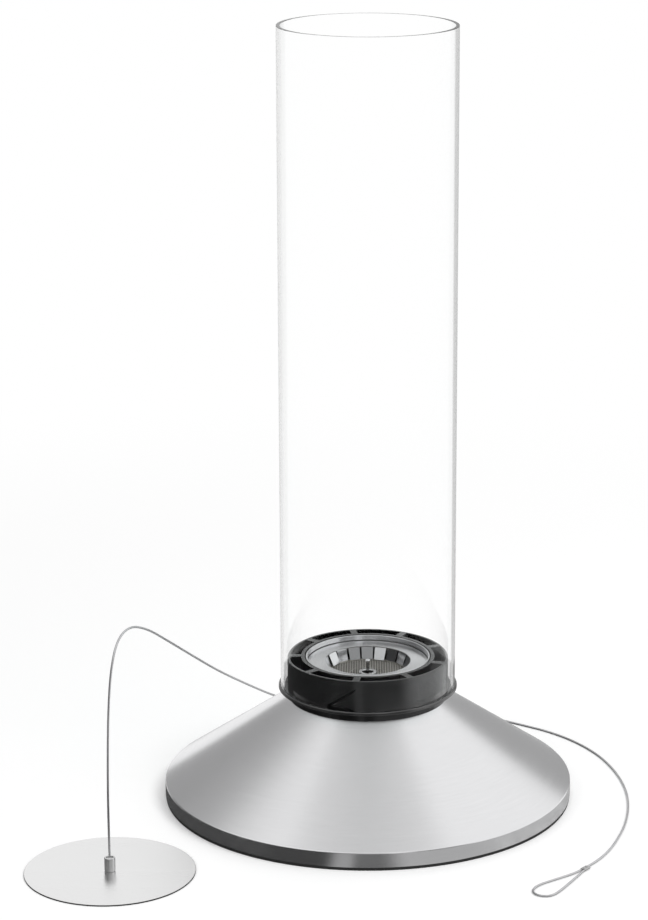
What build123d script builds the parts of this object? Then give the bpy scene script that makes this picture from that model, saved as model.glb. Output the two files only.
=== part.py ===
"""A tabletop fireplace: a glass chimney on a black air guide, a spun steel cone that carries it,
a refillable burner that hangs in the cone, and a snuffer disc on a wire rope that lies beside it.

Millimetres, +Z up, front towards -Y. The origin is on the chimney's axis, at the level of the table.
"""

import os
from math import cos, hypot, pi, radians, sin, tan

from build123d import *

# Driving dimensions
glass_diameter = 120.0
total_height = 534.0
base_diameter = 281.3
snuffer_diameter = 112.2

# Base cone: a vertical skirt, a straight cone and a flat land that carries the neck
foot_height = 2.0
skirt_height = 10.3
sheet = 1.5
cone_run_per_rise = 1.4566
land_outer_radius = 53.5
air_bore_radius = 47.0
bottom_flange_width = 15.0

# Neck, air guide and glass seat
neck_radius = 52.3
seat_underside = 78.2
seat_floor = 79.4
seat_inner_radius = 50.5
lip_radius = 61.5
lip_top = 81.4
lip_clearance = 0.4
guide_radius = 55.3
guide_wall = 1.5
guide_top = 100.3
well_radius = 43.8
well_wall = 2.2
well_bottom = 84.0
ledge_height = 95.6
ledge_radius = 42.6
vane_count = 9
first_vane_angle = 21.6
vane_top_width = 4.8
vane_foot_width = 2.0
vane_lean = 9.0
weld = 0.1

# Glass and its seal
glass_wall = 2.5
gasket_thickness = 0.6

# Screws between the retaining ring and the air guide
screw_count = 3
screw_circle = 49.7
screw_radius = 1.5
screw_hole_radius = 1.7
screw_head_radius = 2.7
screw_head_height = 2.0
screw_top = 86.5
boss_radius = 3.4
boss_top = 89.0
ring_thickness = 2.0

# Burner
can_radius = 42.3
can_wall = 0.5
can_bottom = 24.0
can_top = 99.4
lid_level = 97.0
lid_sheet = 0.6
seam_radius = 43.4
seam_inner_radius = 41.2
seam_top = 100.2
mouth_radius = 29.25
tab_count = 20
first_tab_slot_angle = 29.5
tab_slot = 1.3
tab_foot_radius = 27.3
tab_sheet = 0.5
mesh_top = 88.0
mesh_thickness = 0.8
mesh_radius = 30.0
mesh_pitch = 3.0
mesh_gap = 2.0
eyelet_radius = 6.25
eyelet_bore = 3.75
eyelet_top = 89.2

# Fuel gauge: a float in a cage, with a pin that stands up through the eyelet
cage_radius = 12.6
cage_wall = 0.6
cage_bottom = 55.2
float_radius = 9.5
float_bottom = 66.0
float_height = 14.0
pin_radius = 1.1
pin_head_radius = 1.7
pin_top = 97.2

# Snuffer
snuffer_x = -168.4
snuffer_y = -141.5
snuffer_sheet = 1.0
ferrule_radius = 3.6
ferrule_top = 10.2
rope_diameter = 1.5

os.makedirs("parts", exist_ok=True)

glass_radius = glass_diameter / 2
skirt_radius = base_diameter / 2
skirt_top = foot_height + skirt_height
land_level = skirt_top + (skirt_radius - land_outer_radius) / cone_run_per_rise
# The sheet is this much thicker when measured level through the cone
level_sheet = sheet * hypot(1, cone_run_per_rise)
land_underside = land_level - sheet


def cone_inside(height):
    """The radius of the cone's inner face at a height."""
    return skirt_radius - level_sheet - cone_run_per_rise * (height - skirt_top)


# Base cone
skirt_inner_radius = skirt_radius - sheet
skirt_inner_top = skirt_top - (skirt_inner_radius + level_sheet - skirt_radius) / cone_run_per_rise
flange_inner_radius = skirt_radius - bottom_flange_width
foot_circle = flange_inner_radius + 7.0
foot_count = 6
foot_stem_radius = 2.0
stem_clearance = 0.1
skirt_round = 0.5

with BuildPart() as base_cone:
    with BuildSketch(Plane.XZ):
        with BuildLine():
            Polyline(
                (flange_inner_radius, foot_height),
                (skirt_radius, foot_height),
                (skirt_radius, skirt_top),
                (land_outer_radius, land_level),
                (air_bore_radius, land_level),
                (air_bore_radius, land_underside),
                (cone_inside(land_underside), land_underside),
                (skirt_inner_radius, skirt_inner_top),
                (skirt_inner_radius, foot_height + sheet),
                (flange_inner_radius, foot_height + sheet),
                close=True,
            )
        make_face()
    revolve(axis=Axis.Z)
    fillet(base_cone.edges().filter_by(GeomType.CIRCLE).sort_by(SortBy.RADIUS)[-2:], skirt_round)
    with BuildSketch(Plane.XY.offset(land_underside)):
        with PolarLocations(screw_circle, screw_count, start_angle=first_vane_angle):
            Circle(screw_hole_radius)
    extrude(amount=sheet, mode=Mode.SUBTRACT)
    with BuildSketch(Plane.XY.offset(foot_height)):
        with PolarLocations(foot_circle, foot_count):
            Circle(foot_stem_radius + stem_clearance)
    extrude(amount=sheet, mode=Mode.SUBTRACT)
base_cone.part.label = "base_cone"
export_step(base_cone.part, "parts/base_cone.step")

# Rubber feet: a pad, a stem through the flange and a button head above it
pad_radius = 5.5
button_radius = 3.2
button_height = 1.2

with BuildPart() as rubber_feet:
    with BuildSketch(Plane.XY):
        with PolarLocations(foot_circle, foot_count):
            Circle(pad_radius)
    extrude(amount=foot_height)
    with BuildSketch(Plane.XY.offset(foot_height)):
        with PolarLocations(foot_circle, foot_count):
            Circle(foot_stem_radius)
    extrude(amount=sheet)
    with BuildSketch(Plane.XY.offset(foot_height + sheet)):
        with PolarLocations(foot_circle, foot_count):
            Circle(button_radius)
    extrude(amount=button_height)
rubber_feet.part.label = "rubber_feet"
export_step(rubber_feet.part, "parts/rubber_feet.step")

# Neck collar: the black ring between the cone and the air guide
with BuildPart() as neck_collar:
    with BuildSketch(Plane.XY.offset(land_level)):
        Circle(neck_radius)
        Circle(air_bore_radius, mode=Mode.SUBTRACT)
        with PolarLocations(screw_circle, screw_count, start_angle=first_vane_angle):
            Circle(screw_hole_radius, mode=Mode.SUBTRACT)
    extrude(amount=seat_underside - land_level)
neck_collar.part.label = "neck_collar"
export_step(neck_collar.part, "parts/neck_collar.step")

# Retaining ring: clamps the cone's land from below
with BuildPart() as retaining_ring:
    with BuildSketch(Plane.XY.offset(land_underside - ring_thickness)):
        Circle(neck_radius)
        Circle(air_bore_radius, mode=Mode.SUBTRACT)
        with PolarLocations(screw_circle, screw_count, start_angle=first_vane_angle):
            Circle(screw_hole_radius, mode=Mode.SUBTRACT)
    extrude(amount=ring_thickness)
retaining_ring.part.label = "retaining_ring"
export_step(retaining_ring.part, "parts/retaining_ring.step")

# Retaining screws: cap heads with a hexagon socket, driven up into the air guide
screw_head_face = land_underside - ring_thickness
screw_play = 0.02
socket_radius = 1.4
socket_depth = 1.2

with BuildPart() as retaining_screws:
    with BuildSketch(Plane.XY.offset(screw_head_face - screw_head_height)):
        with PolarLocations(screw_circle, screw_count, start_angle=first_vane_angle):
            Circle(screw_head_radius)
    extrude(amount=screw_head_height)
    with BuildSketch(Plane.XY.offset(screw_head_face)):
        with PolarLocations(screw_circle, screw_count, start_angle=first_vane_angle):
            Circle(screw_radius - screw_play)
    extrude(amount=screw_top - screw_head_face)
    with BuildSketch(Plane.XY.offset(screw_head_face - screw_head_height)):
        with PolarLocations(screw_circle, screw_count, start_angle=first_vane_angle):
            RegularPolygon(socket_radius, 6)
    extrude(amount=socket_depth, mode=Mode.SUBTRACT)
retaining_screws.part.label = "retaining_screws"
export_step(retaining_screws.part, "parts/retaining_screws.step")

# One swirl vane, which leans as it goes down, so that the rising air turns
guide_inner_radius = guide_radius - guide_wall
well_outer_radius = well_radius + well_wall

with BuildPart() as vane:
    with BuildSketch(Plane.YZ.offset(well_outer_radius - weld)):
        with BuildLine():
            Polyline(
                (-vane_top_width / 2, guide_top),
                (vane_top_width / 2, guide_top),
                (vane_foot_width / 2 - vane_lean, well_bottom),
                (-vane_foot_width / 2 - vane_lean, well_bottom),
                close=True,
            )
        make_face()
    extrude(amount=guide_inner_radius - well_outer_radius + 2 * weld)

# Air guide: outer wall with the glass seat, inner well that holds the burner, and the vanes between
pointer_half_angle = 10.35
pointer_angle = first_vane_angle - 120 - pointer_half_angle
pointer_floor = guide_radius * cos(radians(pointer_half_angle))
pointer_half_width = guide_radius * sin(radians(pointer_half_angle))
pointer_high = 95.3
pointer_low = 82.4
pointer_out = Vector(cos(radians(pointer_angle)), sin(radians(pointer_angle)), 0)
pointer_across = Vector(-pointer_out.Y, pointer_out.X, 0)

with BuildPart() as air_guide:
    with BuildSketch(Plane.XZ):
        with BuildLine():
            Polyline(
                (seat_inner_radius, seat_underside),
                (lip_radius, seat_underside),
                (lip_radius, lip_top),
                (glass_radius + lip_clearance, lip_top),
                (glass_radius + lip_clearance, seat_floor),
                (guide_radius, seat_floor),
                (guide_radius, guide_top),
                (guide_inner_radius, guide_top),
                (guide_inner_radius, seat_floor),
                (seat_inner_radius, seat_floor),
                close=True,
            )
        make_face()
    revolve(axis=Axis.Z)
    with BuildSketch(Plane.XZ):
        with BuildLine():
            Polyline(
                (ledge_radius, well_bottom),
                (well_outer_radius, well_bottom),
                (well_outer_radius, guide_top),
                (well_radius, guide_top),
                (well_radius, ledge_height),
                (ledge_radius, ledge_height),
                close=True,
            )
        make_face()
    revolve(axis=Axis.Z)
    with PolarLocations(0, vane_count, start_angle=first_vane_angle):
        add(vane.part)
    with BuildSketch(Plane.XY.offset(seat_underside)):
        with PolarLocations(screw_circle, screw_count, start_angle=first_vane_angle):
            Circle(boss_radius)
    extrude(amount=boss_top - seat_underside)
    with BuildSketch(Plane.XY.offset(seat_underside)):
        with PolarLocations(screw_circle, screw_count, start_angle=first_vane_angle):
            Circle(screw_radius)
    extrude(amount=screw_top - seat_underside, mode=Mode.SUBTRACT)
    # A flat triangular pointer cut into the outer wall, front left
    with BuildSketch(Plane(origin=pointer_out * pointer_floor, x_dir=pointer_across, z_dir=pointer_out)):
        with BuildLine():
            Polyline(
                (pointer_half_width, pointer_high),
                (-pointer_half_width, pointer_low),
                (-pointer_half_width, seat_floor),
                (pointer_half_width, seat_floor),
                close=True,
            )
        make_face()
    extrude(amount=guide_wall, mode=Mode.SUBTRACT)
air_guide.part.label = "air_guide"
export_step(air_guide.part, "parts/air_guide.step")

# Glass gasket: a flat ring under the chimney
gasket_top = seat_floor + gasket_thickness
gasket_margin = 0.2

with BuildPart() as glass_gasket:
    with BuildSketch(Plane.XY.offset(seat_floor)):
        Circle(glass_radius + gasket_margin)
        Circle(glass_radius - glass_wall - gasket_margin, mode=Mode.SUBTRACT)
    extrude(amount=gasket_thickness)
glass_gasket.part.label = "glass_gasket"
export_step(glass_gasket.part, "parts/glass_gasket.step")

# Glass tube: open at both ends, with fire-polished rims
rim_round = 0.8

with BuildPart() as glass_tube:
    with BuildSketch(Plane.XY.offset(gasket_top)):
        Circle(glass_radius)
        Circle(glass_radius - glass_wall, mode=Mode.SUBTRACT)
    extrude(amount=total_height - gasket_top)
    fillet(glass_tube.edges().filter_by(GeomType.CIRCLE), rim_round)
glass_tube.part.label = "glass_tube"
export_step(glass_tube.part, "parts/glass_tube.step")

# Burner can: a thin cup that hangs in the well by the lid's seam
can_corner = 3.0
can_floor = can_bottom + can_wall

with BuildPart() as burner_can:
    with BuildSketch(Plane.XZ):
        with BuildLine():
            Polyline(
                (0, can_bottom),
                (can_radius, can_bottom),
                (can_radius, can_top),
                (can_radius - can_wall, can_top),
                (can_radius - can_wall, can_floor),
                (0, can_floor),
                close=True,
            )
        make_face()
    revolve(axis=Axis.Z)
    fillet(burner_can.edges().filter_by_position(Axis.Z, can_bottom, can_bottom), can_corner)
    fillet(burner_can.edges().filter_by_position(Axis.Z, can_floor, can_floor), can_corner - can_wall)
burner_can.part.label = "burner_can"
export_step(burner_can.part, "parts/burner_can.step")

# Burner lid: a flat ring with the mouth, a short wall and the rolled seam round the can's rim
seam_gap = 0.1
seam_round = 0.9

with BuildPart() as burner_lid:
    with BuildSketch(Plane.XZ):
        with BuildLine():
            Polyline(
                (mouth_radius, lid_level - lid_sheet),
                (can_radius - can_wall - seam_gap, lid_level - lid_sheet),
                (can_radius - can_wall - seam_gap, can_top),
                (can_radius + seam_gap, can_top),
                (can_radius + seam_gap, ledge_height),
                (seam_radius, ledge_height),
                (seam_radius, seam_top),
                (seam_inner_radius, seam_top),
                (seam_inner_radius, lid_level),
                (mouth_radius, lid_level),
                close=True,
            )
        make_face()
    revolve(axis=Axis.Z)
    fillet(burner_lid.edges().filter_by_position(Axis.Z, seam_top, seam_top), seam_round)
burner_lid.part.label = "burner_lid"
export_step(burner_lid.part, "parts/burner_lid.step")

# Mouth crown: a flange under the lid, with a ring of tabs bent down onto the mesh
crown_top = lid_level - lid_sheet
crown_flange_radius = 34.0
slot_top = crown_top - tab_sheet - 0.2
slot_reach = 6.0

with BuildPart() as mouth_crown:
    with BuildSketch(Plane.XZ):
        with BuildLine():
            Polyline(
                (mouth_radius, crown_top),
                (tab_foot_radius, mesh_top),
                (tab_foot_radius + tab_sheet, mesh_top),
                (mouth_radius + tab_sheet, crown_top - tab_sheet),
                (crown_flange_radius, crown_top - tab_sheet),
                (crown_flange_radius, crown_top),
                close=True,
            )
        make_face()
    revolve(axis=Axis.Z)
    with BuildSketch(Plane.XY.offset(mesh_top)):
        with PolarLocations(mouth_radius, tab_count, start_angle=first_tab_slot_angle):
            Rectangle(slot_reach, tab_slot)
    extrude(amount=slot_top - mesh_top, mode=Mode.SUBTRACT)
mouth_crown.part.label = "mouth_crown"
export_step(mouth_crown.part, "parts/mouth_crown.step")

# Wick mesh: a disc of coarse wire cloth, solid at its rim and round the eyelet
mesh_bottom = mesh_top - mesh_thickness
mesh_open_radius = 26.5
mesh_hub_radius = 8.0
eyelet_neck = 4.5
eyelet_hole_play = 0.1
half_count = int(mesh_open_radius / mesh_pitch)
mesh_gaps = [
    (mesh_pitch * column, mesh_pitch * row)
    for column in range(-half_count, half_count + 1)
    for row in range(-half_count, half_count + 1)
    if mesh_hub_radius < mesh_pitch * hypot(column, row) < mesh_open_radius
]
print("mesh gaps", len(mesh_gaps))

with BuildPart() as wick_mesh:
    with BuildSketch(Plane.XY.offset(mesh_bottom)):
        Circle(mesh_radius)
        Circle(eyelet_neck + eyelet_hole_play, mode=Mode.SUBTRACT)
        with Locations(*mesh_gaps):
            Rectangle(mesh_gap, mesh_gap, mode=Mode.SUBTRACT)
    extrude(amount=mesh_thickness)
wick_mesh.part.label = "wick_mesh"
export_step(wick_mesh.part, "parts/wick_mesh.step")

# Filler eyelet: a rolled ring through the middle of the mesh
eyelet_foot_height = 0.8
eyelet_foot_radius = 5.5
eyelet_roll = 0.9

with BuildPart() as filler_eyelet:
    with BuildSketch(Plane.XZ):
        with BuildLine():
            Polyline(
                (eyelet_bore, mesh_bottom - eyelet_foot_height),
                (eyelet_foot_radius, mesh_bottom - eyelet_foot_height),
                (eyelet_foot_radius, mesh_bottom),
                (eyelet_neck, mesh_bottom),
                (eyelet_neck, mesh_top),
                (eyelet_radius, mesh_top),
                (eyelet_radius, eyelet_top),
                (eyelet_bore, eyelet_top),
                close=True,
            )
        make_face()
    revolve(axis=Axis.Z)
    fillet(filler_eyelet.edges().filter_by_position(Axis.Z, eyelet_top, eyelet_top), eyelet_roll)
filler_eyelet.part.label = "filler_eyelet"
export_step(filler_eyelet.part, "parts/filler_eyelet.step")

# Float cage: an open tube with a floor, under the eyelet
cage_window_width = 5.0
cage_window_low = 60.0
cage_window_height = 18.0
cage_window_reach = 3 * cage_radius
cage_hole_radius = 1.5
cage_hole_count = 4

with BuildPart() as float_cage:
    with BuildSketch(Plane.XY.offset(cage_bottom)):
        Circle(cage_radius)
    extrude(amount=mesh_bottom - cage_bottom)
    with BuildSketch(Plane.XY.offset(cage_bottom + cage_wall)):
        Circle(cage_radius - cage_wall)
    extrude(amount=mesh_bottom - cage_bottom, mode=Mode.SUBTRACT)
    with BuildSketch(Plane.XY.offset(cage_window_low)):
        Rectangle(cage_window_reach, cage_window_width)
        Rectangle(cage_window_width, cage_window_reach)
    extrude(amount=cage_window_height, mode=Mode.SUBTRACT)
    with BuildSketch(Plane.XY.offset(cage_bottom)):
        with PolarLocations(cage_radius / 2, cage_hole_count):
            Circle(cage_hole_radius)
    extrude(amount=cage_wall, mode=Mode.SUBTRACT)
float_cage.part.label = "float_cage"
export_step(float_cage.part, "parts/float_cage.step")

# Fuel wool: the ceramic block that soaks up the fuel, with a pocket for the float cage
wool_play = 0.2
wool_radius = can_radius - can_wall - wool_play

with BuildPart() as fuel_wool:
    with BuildSketch(Plane.XY.offset(can_floor)):
        Circle(wool_radius)
    extrude(amount=mesh_bottom - can_floor)
    fillet(fuel_wool.edges().sort_by(Axis.Z)[0], can_corner)
    with BuildSketch(Plane.XY.offset(cage_bottom)):
        Circle(cage_radius)
    extrude(amount=mesh_bottom - cage_bottom, mode=Mode.SUBTRACT)
fuel_wool.part.label = "fuel_wool"
export_step(fuel_wool.part, "parts/fuel_wool.step")

# Level pin: a thin rod with a domed head, which drops as the fuel burns away
clip_thickness = 0.8
pin_bottom = float_bottom - 2 * clip_thickness
pin_head_height = 1.6
pin_head_round = 1.2

with BuildPart() as level_pin:
    with BuildSketch(Plane.XY.offset(pin_bottom)):
        Circle(pin_radius)
    extrude(amount=pin_top - pin_head_height - pin_bottom)
    with BuildSketch(Plane.XY.offset(pin_top - pin_head_height)):
        Circle(pin_head_radius)
    extrude(amount=pin_head_height)
    fillet(level_pin.edges().sort_by(Axis.Z)[-1], pin_head_round)
level_pin.part.label = "level_pin"
export_step(level_pin.part, "parts/level_pin.step")

# Gauge float and the clip that holds it on the pin
clip_radius = 3.3

with BuildPart() as gauge_float:
    with BuildSketch(Plane.XY.offset(float_bottom)):
        Circle(float_radius)
        Circle(pin_radius, mode=Mode.SUBTRACT)
    extrude(amount=float_height)
gauge_float.part.label = "gauge_float"
export_step(gauge_float.part, "parts/gauge_float.step")

with BuildPart() as float_clip:
    with BuildSketch(Plane.XY.offset(float_bottom - clip_thickness)):
        Circle(clip_radius)
        Circle(pin_radius, mode=Mode.SUBTRACT)
    extrude(amount=clip_thickness)
float_clip.part.label = "float_clip"
export_step(float_clip.part, "parts/float_clip.step")

# Snuffer disc: a flat sheet disc with a countersunk hole
fixing_radius = 1.55
fixing_head_radius = 2.8
fixing_top = 5.5
fixing_play = 0.05
snuffer_axis = Plane(origin=(snuffer_x, snuffer_y, 0), x_dir=(1, 0, 0), z_dir=(0, -1, 0))

with BuildPart() as snuffer_disc:
    with BuildSketch(snuffer_axis):
        with BuildLine():
            Polyline(
                (fixing_head_radius + fixing_play, 0),
                (snuffer_diameter / 2, 0),
                (snuffer_diameter / 2, snuffer_sheet),
                (fixing_radius + fixing_play, snuffer_sheet),
                close=True,
            )
        make_face()
    revolve(axis=Axis((snuffer_x, snuffer_y, 0), (0, 0, 1)))
snuffer_disc.part.label = "snuffer_disc"
export_step(snuffer_disc.part, "parts/snuffer_disc.step")

# Snuffer ferrule: a small turned post that grips the rope
ferrule_chamfer = 0.4

with BuildPart() as snuffer_ferrule:
    with BuildSketch(Plane.XY.offset(snuffer_sheet)):
        with Locations((snuffer_x, snuffer_y)):
            Circle(ferrule_radius)
    extrude(amount=ferrule_top - snuffer_sheet)
    chamfer(snuffer_ferrule.edges().sort_by(Axis.Z)[-1], ferrule_chamfer)
    with BuildSketch(Plane.XY.offset(snuffer_sheet)):
        with Locations((snuffer_x, snuffer_y)):
            Circle(fixing_radius + fixing_play)
    extrude(amount=fixing_top - snuffer_sheet, mode=Mode.SUBTRACT)
snuffer_ferrule.part.label = "snuffer_ferrule"
export_step(snuffer_ferrule.part, "parts/snuffer_ferrule.step")

# Snuffer screw: countersunk from under the disc into the ferrule
with BuildPart() as snuffer_screw:
    with BuildSketch(snuffer_axis):
        with BuildLine():
            Polyline(
                (0, 0),
                (fixing_head_radius, 0),
                (fixing_radius, snuffer_sheet),
                (fixing_radius, fixing_top),
                (0, fixing_top),
                close=True,
            )
        make_face()
    revolve(axis=Axis((snuffer_x, snuffer_y, 0), (0, 0, 1)))
snuffer_screw.part.label = "snuffer_screw"
export_step(snuffer_screw.part, "parts/snuffer_screw.step")

# Snuffer rope: up from the ferrule, over in an arch, down behind the cone and forward along the table
rope_radius = rope_diameter / 2
rope_level = 0.8
crimp_length = 6.5
crimp_width = 4.2
crimp_height = 2.0
strand_offset = 0.85
crimp_back = Vector(144.0, -136.4, rope_level)
crimp_way = Vector(-0.62, -0.785, 0).normalized()
crimp_side = Vector(crimp_way.Y, -crimp_way.X, 0)
rope_end = crimp_back + crimp_side * strand_offset
eye_start = crimp_back + crimp_way * crimp_length + crimp_side * strand_offset
eye_end = crimp_back + crimp_way * crimp_length - crimp_side * strand_offset

rope_route = [
    (snuffer_x, snuffer_y, ferrule_top),
    (-168.9, -142.0, 38.0),
    (-168.8, -141.6, 76.0),
    (-167.8, -137.6, 110.5),
    (-165.4, -130.8, 136.5),
    (-160.2, -120.0, 151.8),
    (-152.8, -104.5, 157.5),
    (-144.6, -86.8, 150.6),
    (-134.4, -63.0, 134.8),
    (-120.2, -30.5, 112.4),
    (-103.2, 10.0, 86.0),
    (-84.5, 51.0, 61.5),
    (-66.5, 91.5, 37.5),
    (-52.0, 128.5, 19.5),
    (-39.5, 157.0, 5.0),
    (-22.0, 175.0, rope_level),
    (6.0, 182.0, rope_level),
    (39.0, 175.5, rope_level),
    (71.5, 157.0, rope_level),
    (107.0, 133.6, rope_level),
    (139.0, 110.0, rope_level),
    (162.0, 75.0, rope_level),
    (175.5, 35.0, rope_level),
    (181.0, -9.0, rope_level),
    (176.8, -57.0, rope_level),
    (165.4, -98.5, rope_level),
    (154.2, -122.0, rope_level),
    tuple(rope_end),
]

eye_route = [
    tuple(eye_start),
    (133.1, -148.8, rope_level),
    (121.0, -158.6, rope_level),
    (108.2, -168.3, rope_level),
    (104.3, -177.2, rope_level),
    (110.6, -184.3, rope_level),
    (120.2, -182.8, rope_level),
    (127.0, -168.9, rope_level),
    (132.8, -154.6, rope_level),
    (136.4, -147.2, rope_level),
    tuple(eye_end),
]


def bend_radii(route):
    """The radius of each corner's arc, which takes this share of the shorter run at the corner."""
    share = 0.45
    points = [Vector(*point) for point in route]
    runs = [after - before for before, after in zip(points, points[1:])]
    radii = []
    for before, after in zip(runs, runs[1:]):
        turn = radians(before.get_angle(after))
        radii.append(share * min(before.length, after.length) / tan(turn / 2))
    return radii


rope_radii = bend_radii(rope_route)
eye_radii = bend_radii(eye_route)
print("rope radii", [round(radius, 1) for radius in rope_radii])
print("eye radii", [round(radius, 1) for radius in eye_radii])

with BuildPart() as snuffer_rope:
    with BuildLine() as rope_line:
        FilletPolyline(*rope_route, radius=rope_radii)
    with BuildSketch(Plane(origin=rope_line.line @ 0, z_dir=rope_line.line % 0)):
        Circle(rope_radius)
    sweep()
rope_section = pi * rope_radius**2
rope_length = rope_line.wires()[0].length
print("rope length", round(rope_length, 1))
print("rope volume", round(snuffer_rope.part.volume), "of", round(rope_section * rope_length))
snuffer_rope.part.label = "snuffer_rope"
export_step(snuffer_rope.part, "parts/snuffer_rope.step")

# Rope eye: the loop at the far end, closed by the crimp
with BuildPart() as rope_eye:
    with BuildLine() as eye_line:
        FilletPolyline(*eye_route, radius=eye_radii)
    with BuildSketch(Plane(origin=eye_line.line @ 0, z_dir=eye_line.line % 0)):
        Circle(rope_radius)
    sweep()
eye_length = eye_line.wires()[0].length
print("eye length", round(eye_length, 1))
print("eye volume", round(rope_eye.part.volume), "of", round(rope_section * eye_length))
rope_eye.part.label = "rope_eye"
export_step(rope_eye.part, "parts/rope_eye.step")

# Rope crimp: an oval sleeve squeezed over both strands
crimp_middle = Vector(crimp_back.X, crimp_back.Y, crimp_height / 2)

with BuildPart() as rope_crimp:
    with BuildSketch(Plane(origin=crimp_middle, x_dir=crimp_side, z_dir=crimp_way)):
        SlotOverall(crimp_width, crimp_height)
    extrude(amount=crimp_length)
rope_crimp.part.label = "rope_crimp"
export_step(rope_crimp.part, "parts/rope_crimp.step")
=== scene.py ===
"""The looks of the tabletop fireplace: its finishes, its detailed meshes, the wire rope and a plain studio.

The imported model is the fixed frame. Every piece here is built in its place and rides on one of its bodies.
Sizes are in millimetres and angles in degrees, but the rope's route and the studio are in metres.
"""

import logging
from dataclasses import dataclass
from enum import Enum, IntEnum
from functools import cache
from math import acos, atan2, cos, degrees, hypot, pi, radians, sin, tan, tau
from random import Random
from typing import Callable, Iterable, Sequence

import bmesh
import bpy
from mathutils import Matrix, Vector


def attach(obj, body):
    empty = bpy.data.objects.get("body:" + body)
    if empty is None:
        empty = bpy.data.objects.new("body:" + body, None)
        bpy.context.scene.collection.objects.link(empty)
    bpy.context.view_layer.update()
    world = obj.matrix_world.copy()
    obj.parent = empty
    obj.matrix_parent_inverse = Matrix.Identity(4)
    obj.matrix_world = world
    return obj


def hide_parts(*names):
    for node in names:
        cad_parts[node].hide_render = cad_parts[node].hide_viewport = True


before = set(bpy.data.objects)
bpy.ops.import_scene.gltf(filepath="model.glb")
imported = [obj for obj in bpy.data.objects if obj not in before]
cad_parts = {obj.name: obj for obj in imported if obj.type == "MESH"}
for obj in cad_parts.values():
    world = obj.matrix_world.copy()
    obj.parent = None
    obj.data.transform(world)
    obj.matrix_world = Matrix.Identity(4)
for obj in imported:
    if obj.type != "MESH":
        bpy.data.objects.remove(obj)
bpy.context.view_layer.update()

MM = 0.001
PHOTO_WIDTH = 648
PHOTO_HEIGHT = 920
DISC_CENTRE = (-168.4, -141.5)
WHITE = (1.0, 1.0, 1.0, 1.0)

# Radii that edges are broken by, and how far a piece runs into its neighbour
CRISP = 0.1
BROKEN = 0.15
EASED = 0.2
SOFT = 0.3
LAP = 0.02

log = logging.getLogger("tabletop_fireplace")

Pair = tuple[float, float]
Triple = tuple[float, float, float]
Piece = bpy.types.Object


class Body(Enum):
    """The bodies of the frame that pieces ride on."""

    BASE = "base"
    CHIMNEY = "chimney"
    BURNER = "burner"
    GAUGE = "gauge"
    SNUFFER = "snuffer"


class Slot(Enum):
    """The record's material slots."""

    BRUSHED_STEEL = "brushed_steel"
    BLACK_ENAMEL = "black_enamel"
    SEAL_RUBBER = "seal_rubber"
    SILICONE = "silicone"
    CLEAR_GLASS = "clear_glass"
    ZINC_STEEL = "zinc_steel"
    BURNER_STEEL = "burner_steel"
    POLISHED_STEEL = "polished_steel"
    MESH_STEEL = "mesh_steel"
    CERAMIC_WOOL = "ceramic_wool"
    FLOAT_FOAM = "float_foam"
    SNUFFER_STEEL = "snuffer_steel"
    WIRE_ROPE = "wire_rope"
    CRIMP_METAL = "crimp_metal"


class Grain(Enum):
    """Which way the fine marks on a metal run."""

    AROUND = "around the turning axis"
    ACROSS = "straight across"


class Facets(IntEnum):
    """How many faces go round a turned piece."""

    BASE = 360
    LEDGE = 300
    BODY = 240
    RIM = 200
    EYELET = 120
    POST = 96
    PIN = 48
    STUD = 40


# Meshes

Corner = tuple[float, ...]  # radius, height and, where its edge is taken off, the radius of that arc


def square(
    inner: float, outer: float, low: float, high: float, arcs: Sequence[float] = (0, 0, 0, 0)
) -> list[Corner]:
    """The four corners of a square section, from the lower inner one to the upper inner one."""
    return list(zip((inner, outer, outer, inner), (low, low, high, high), arcs))


def rounded(corners: Sequence[Corner], steps: int = 5) -> list[Pair]:
    """Works out a closed outline whose corners are arcs.

    A point a little way along each straight, beside each arc, keeps the shading of the straight flat.

    Args:
        corners: the outline's corners in order.
        steps: how many chords each arc has.

    Returns:
        The outline's points as radius and height.
    """
    guard_share = 0.2
    spots = [Vector(corner[:2]) for corner in corners]
    points: list[Pair] = []
    for index, here in enumerate(spots):
        arc = sum(corners[index][2:])
        if arc <= 0:
            points.append(tuple(here))
            continue
        back = (spots[index - 1] - here).normalized()
        ahead = (spots[(index + 1) % len(spots)] - here).normalized()
        half = acos(max(-1.0, min(1.0, back.dot(ahead)))) / 2
        reach = arc / tan(half)
        guard = reach + arc * guard_share
        middle = here + (back + ahead).normalized() * (arc / sin(half))
        start = (here + back * reach - middle).normalized()
        end = (here + ahead * reach - middle).normalized()
        points.append(tuple(here + back * guard))
        points.extend(tuple(middle + start.slerp(end, step / steps) * arc) for step in range(steps + 1))
        points.append(tuple(here + ahead * guard))
    return points


def polar(radius: float, angle: float, height: float = 0.0) -> Vector:
    """The point at a radius and an angle in degrees from +X."""
    return Vector((radius * cos(radians(angle)), radius * sin(radians(angle)), height))


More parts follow.
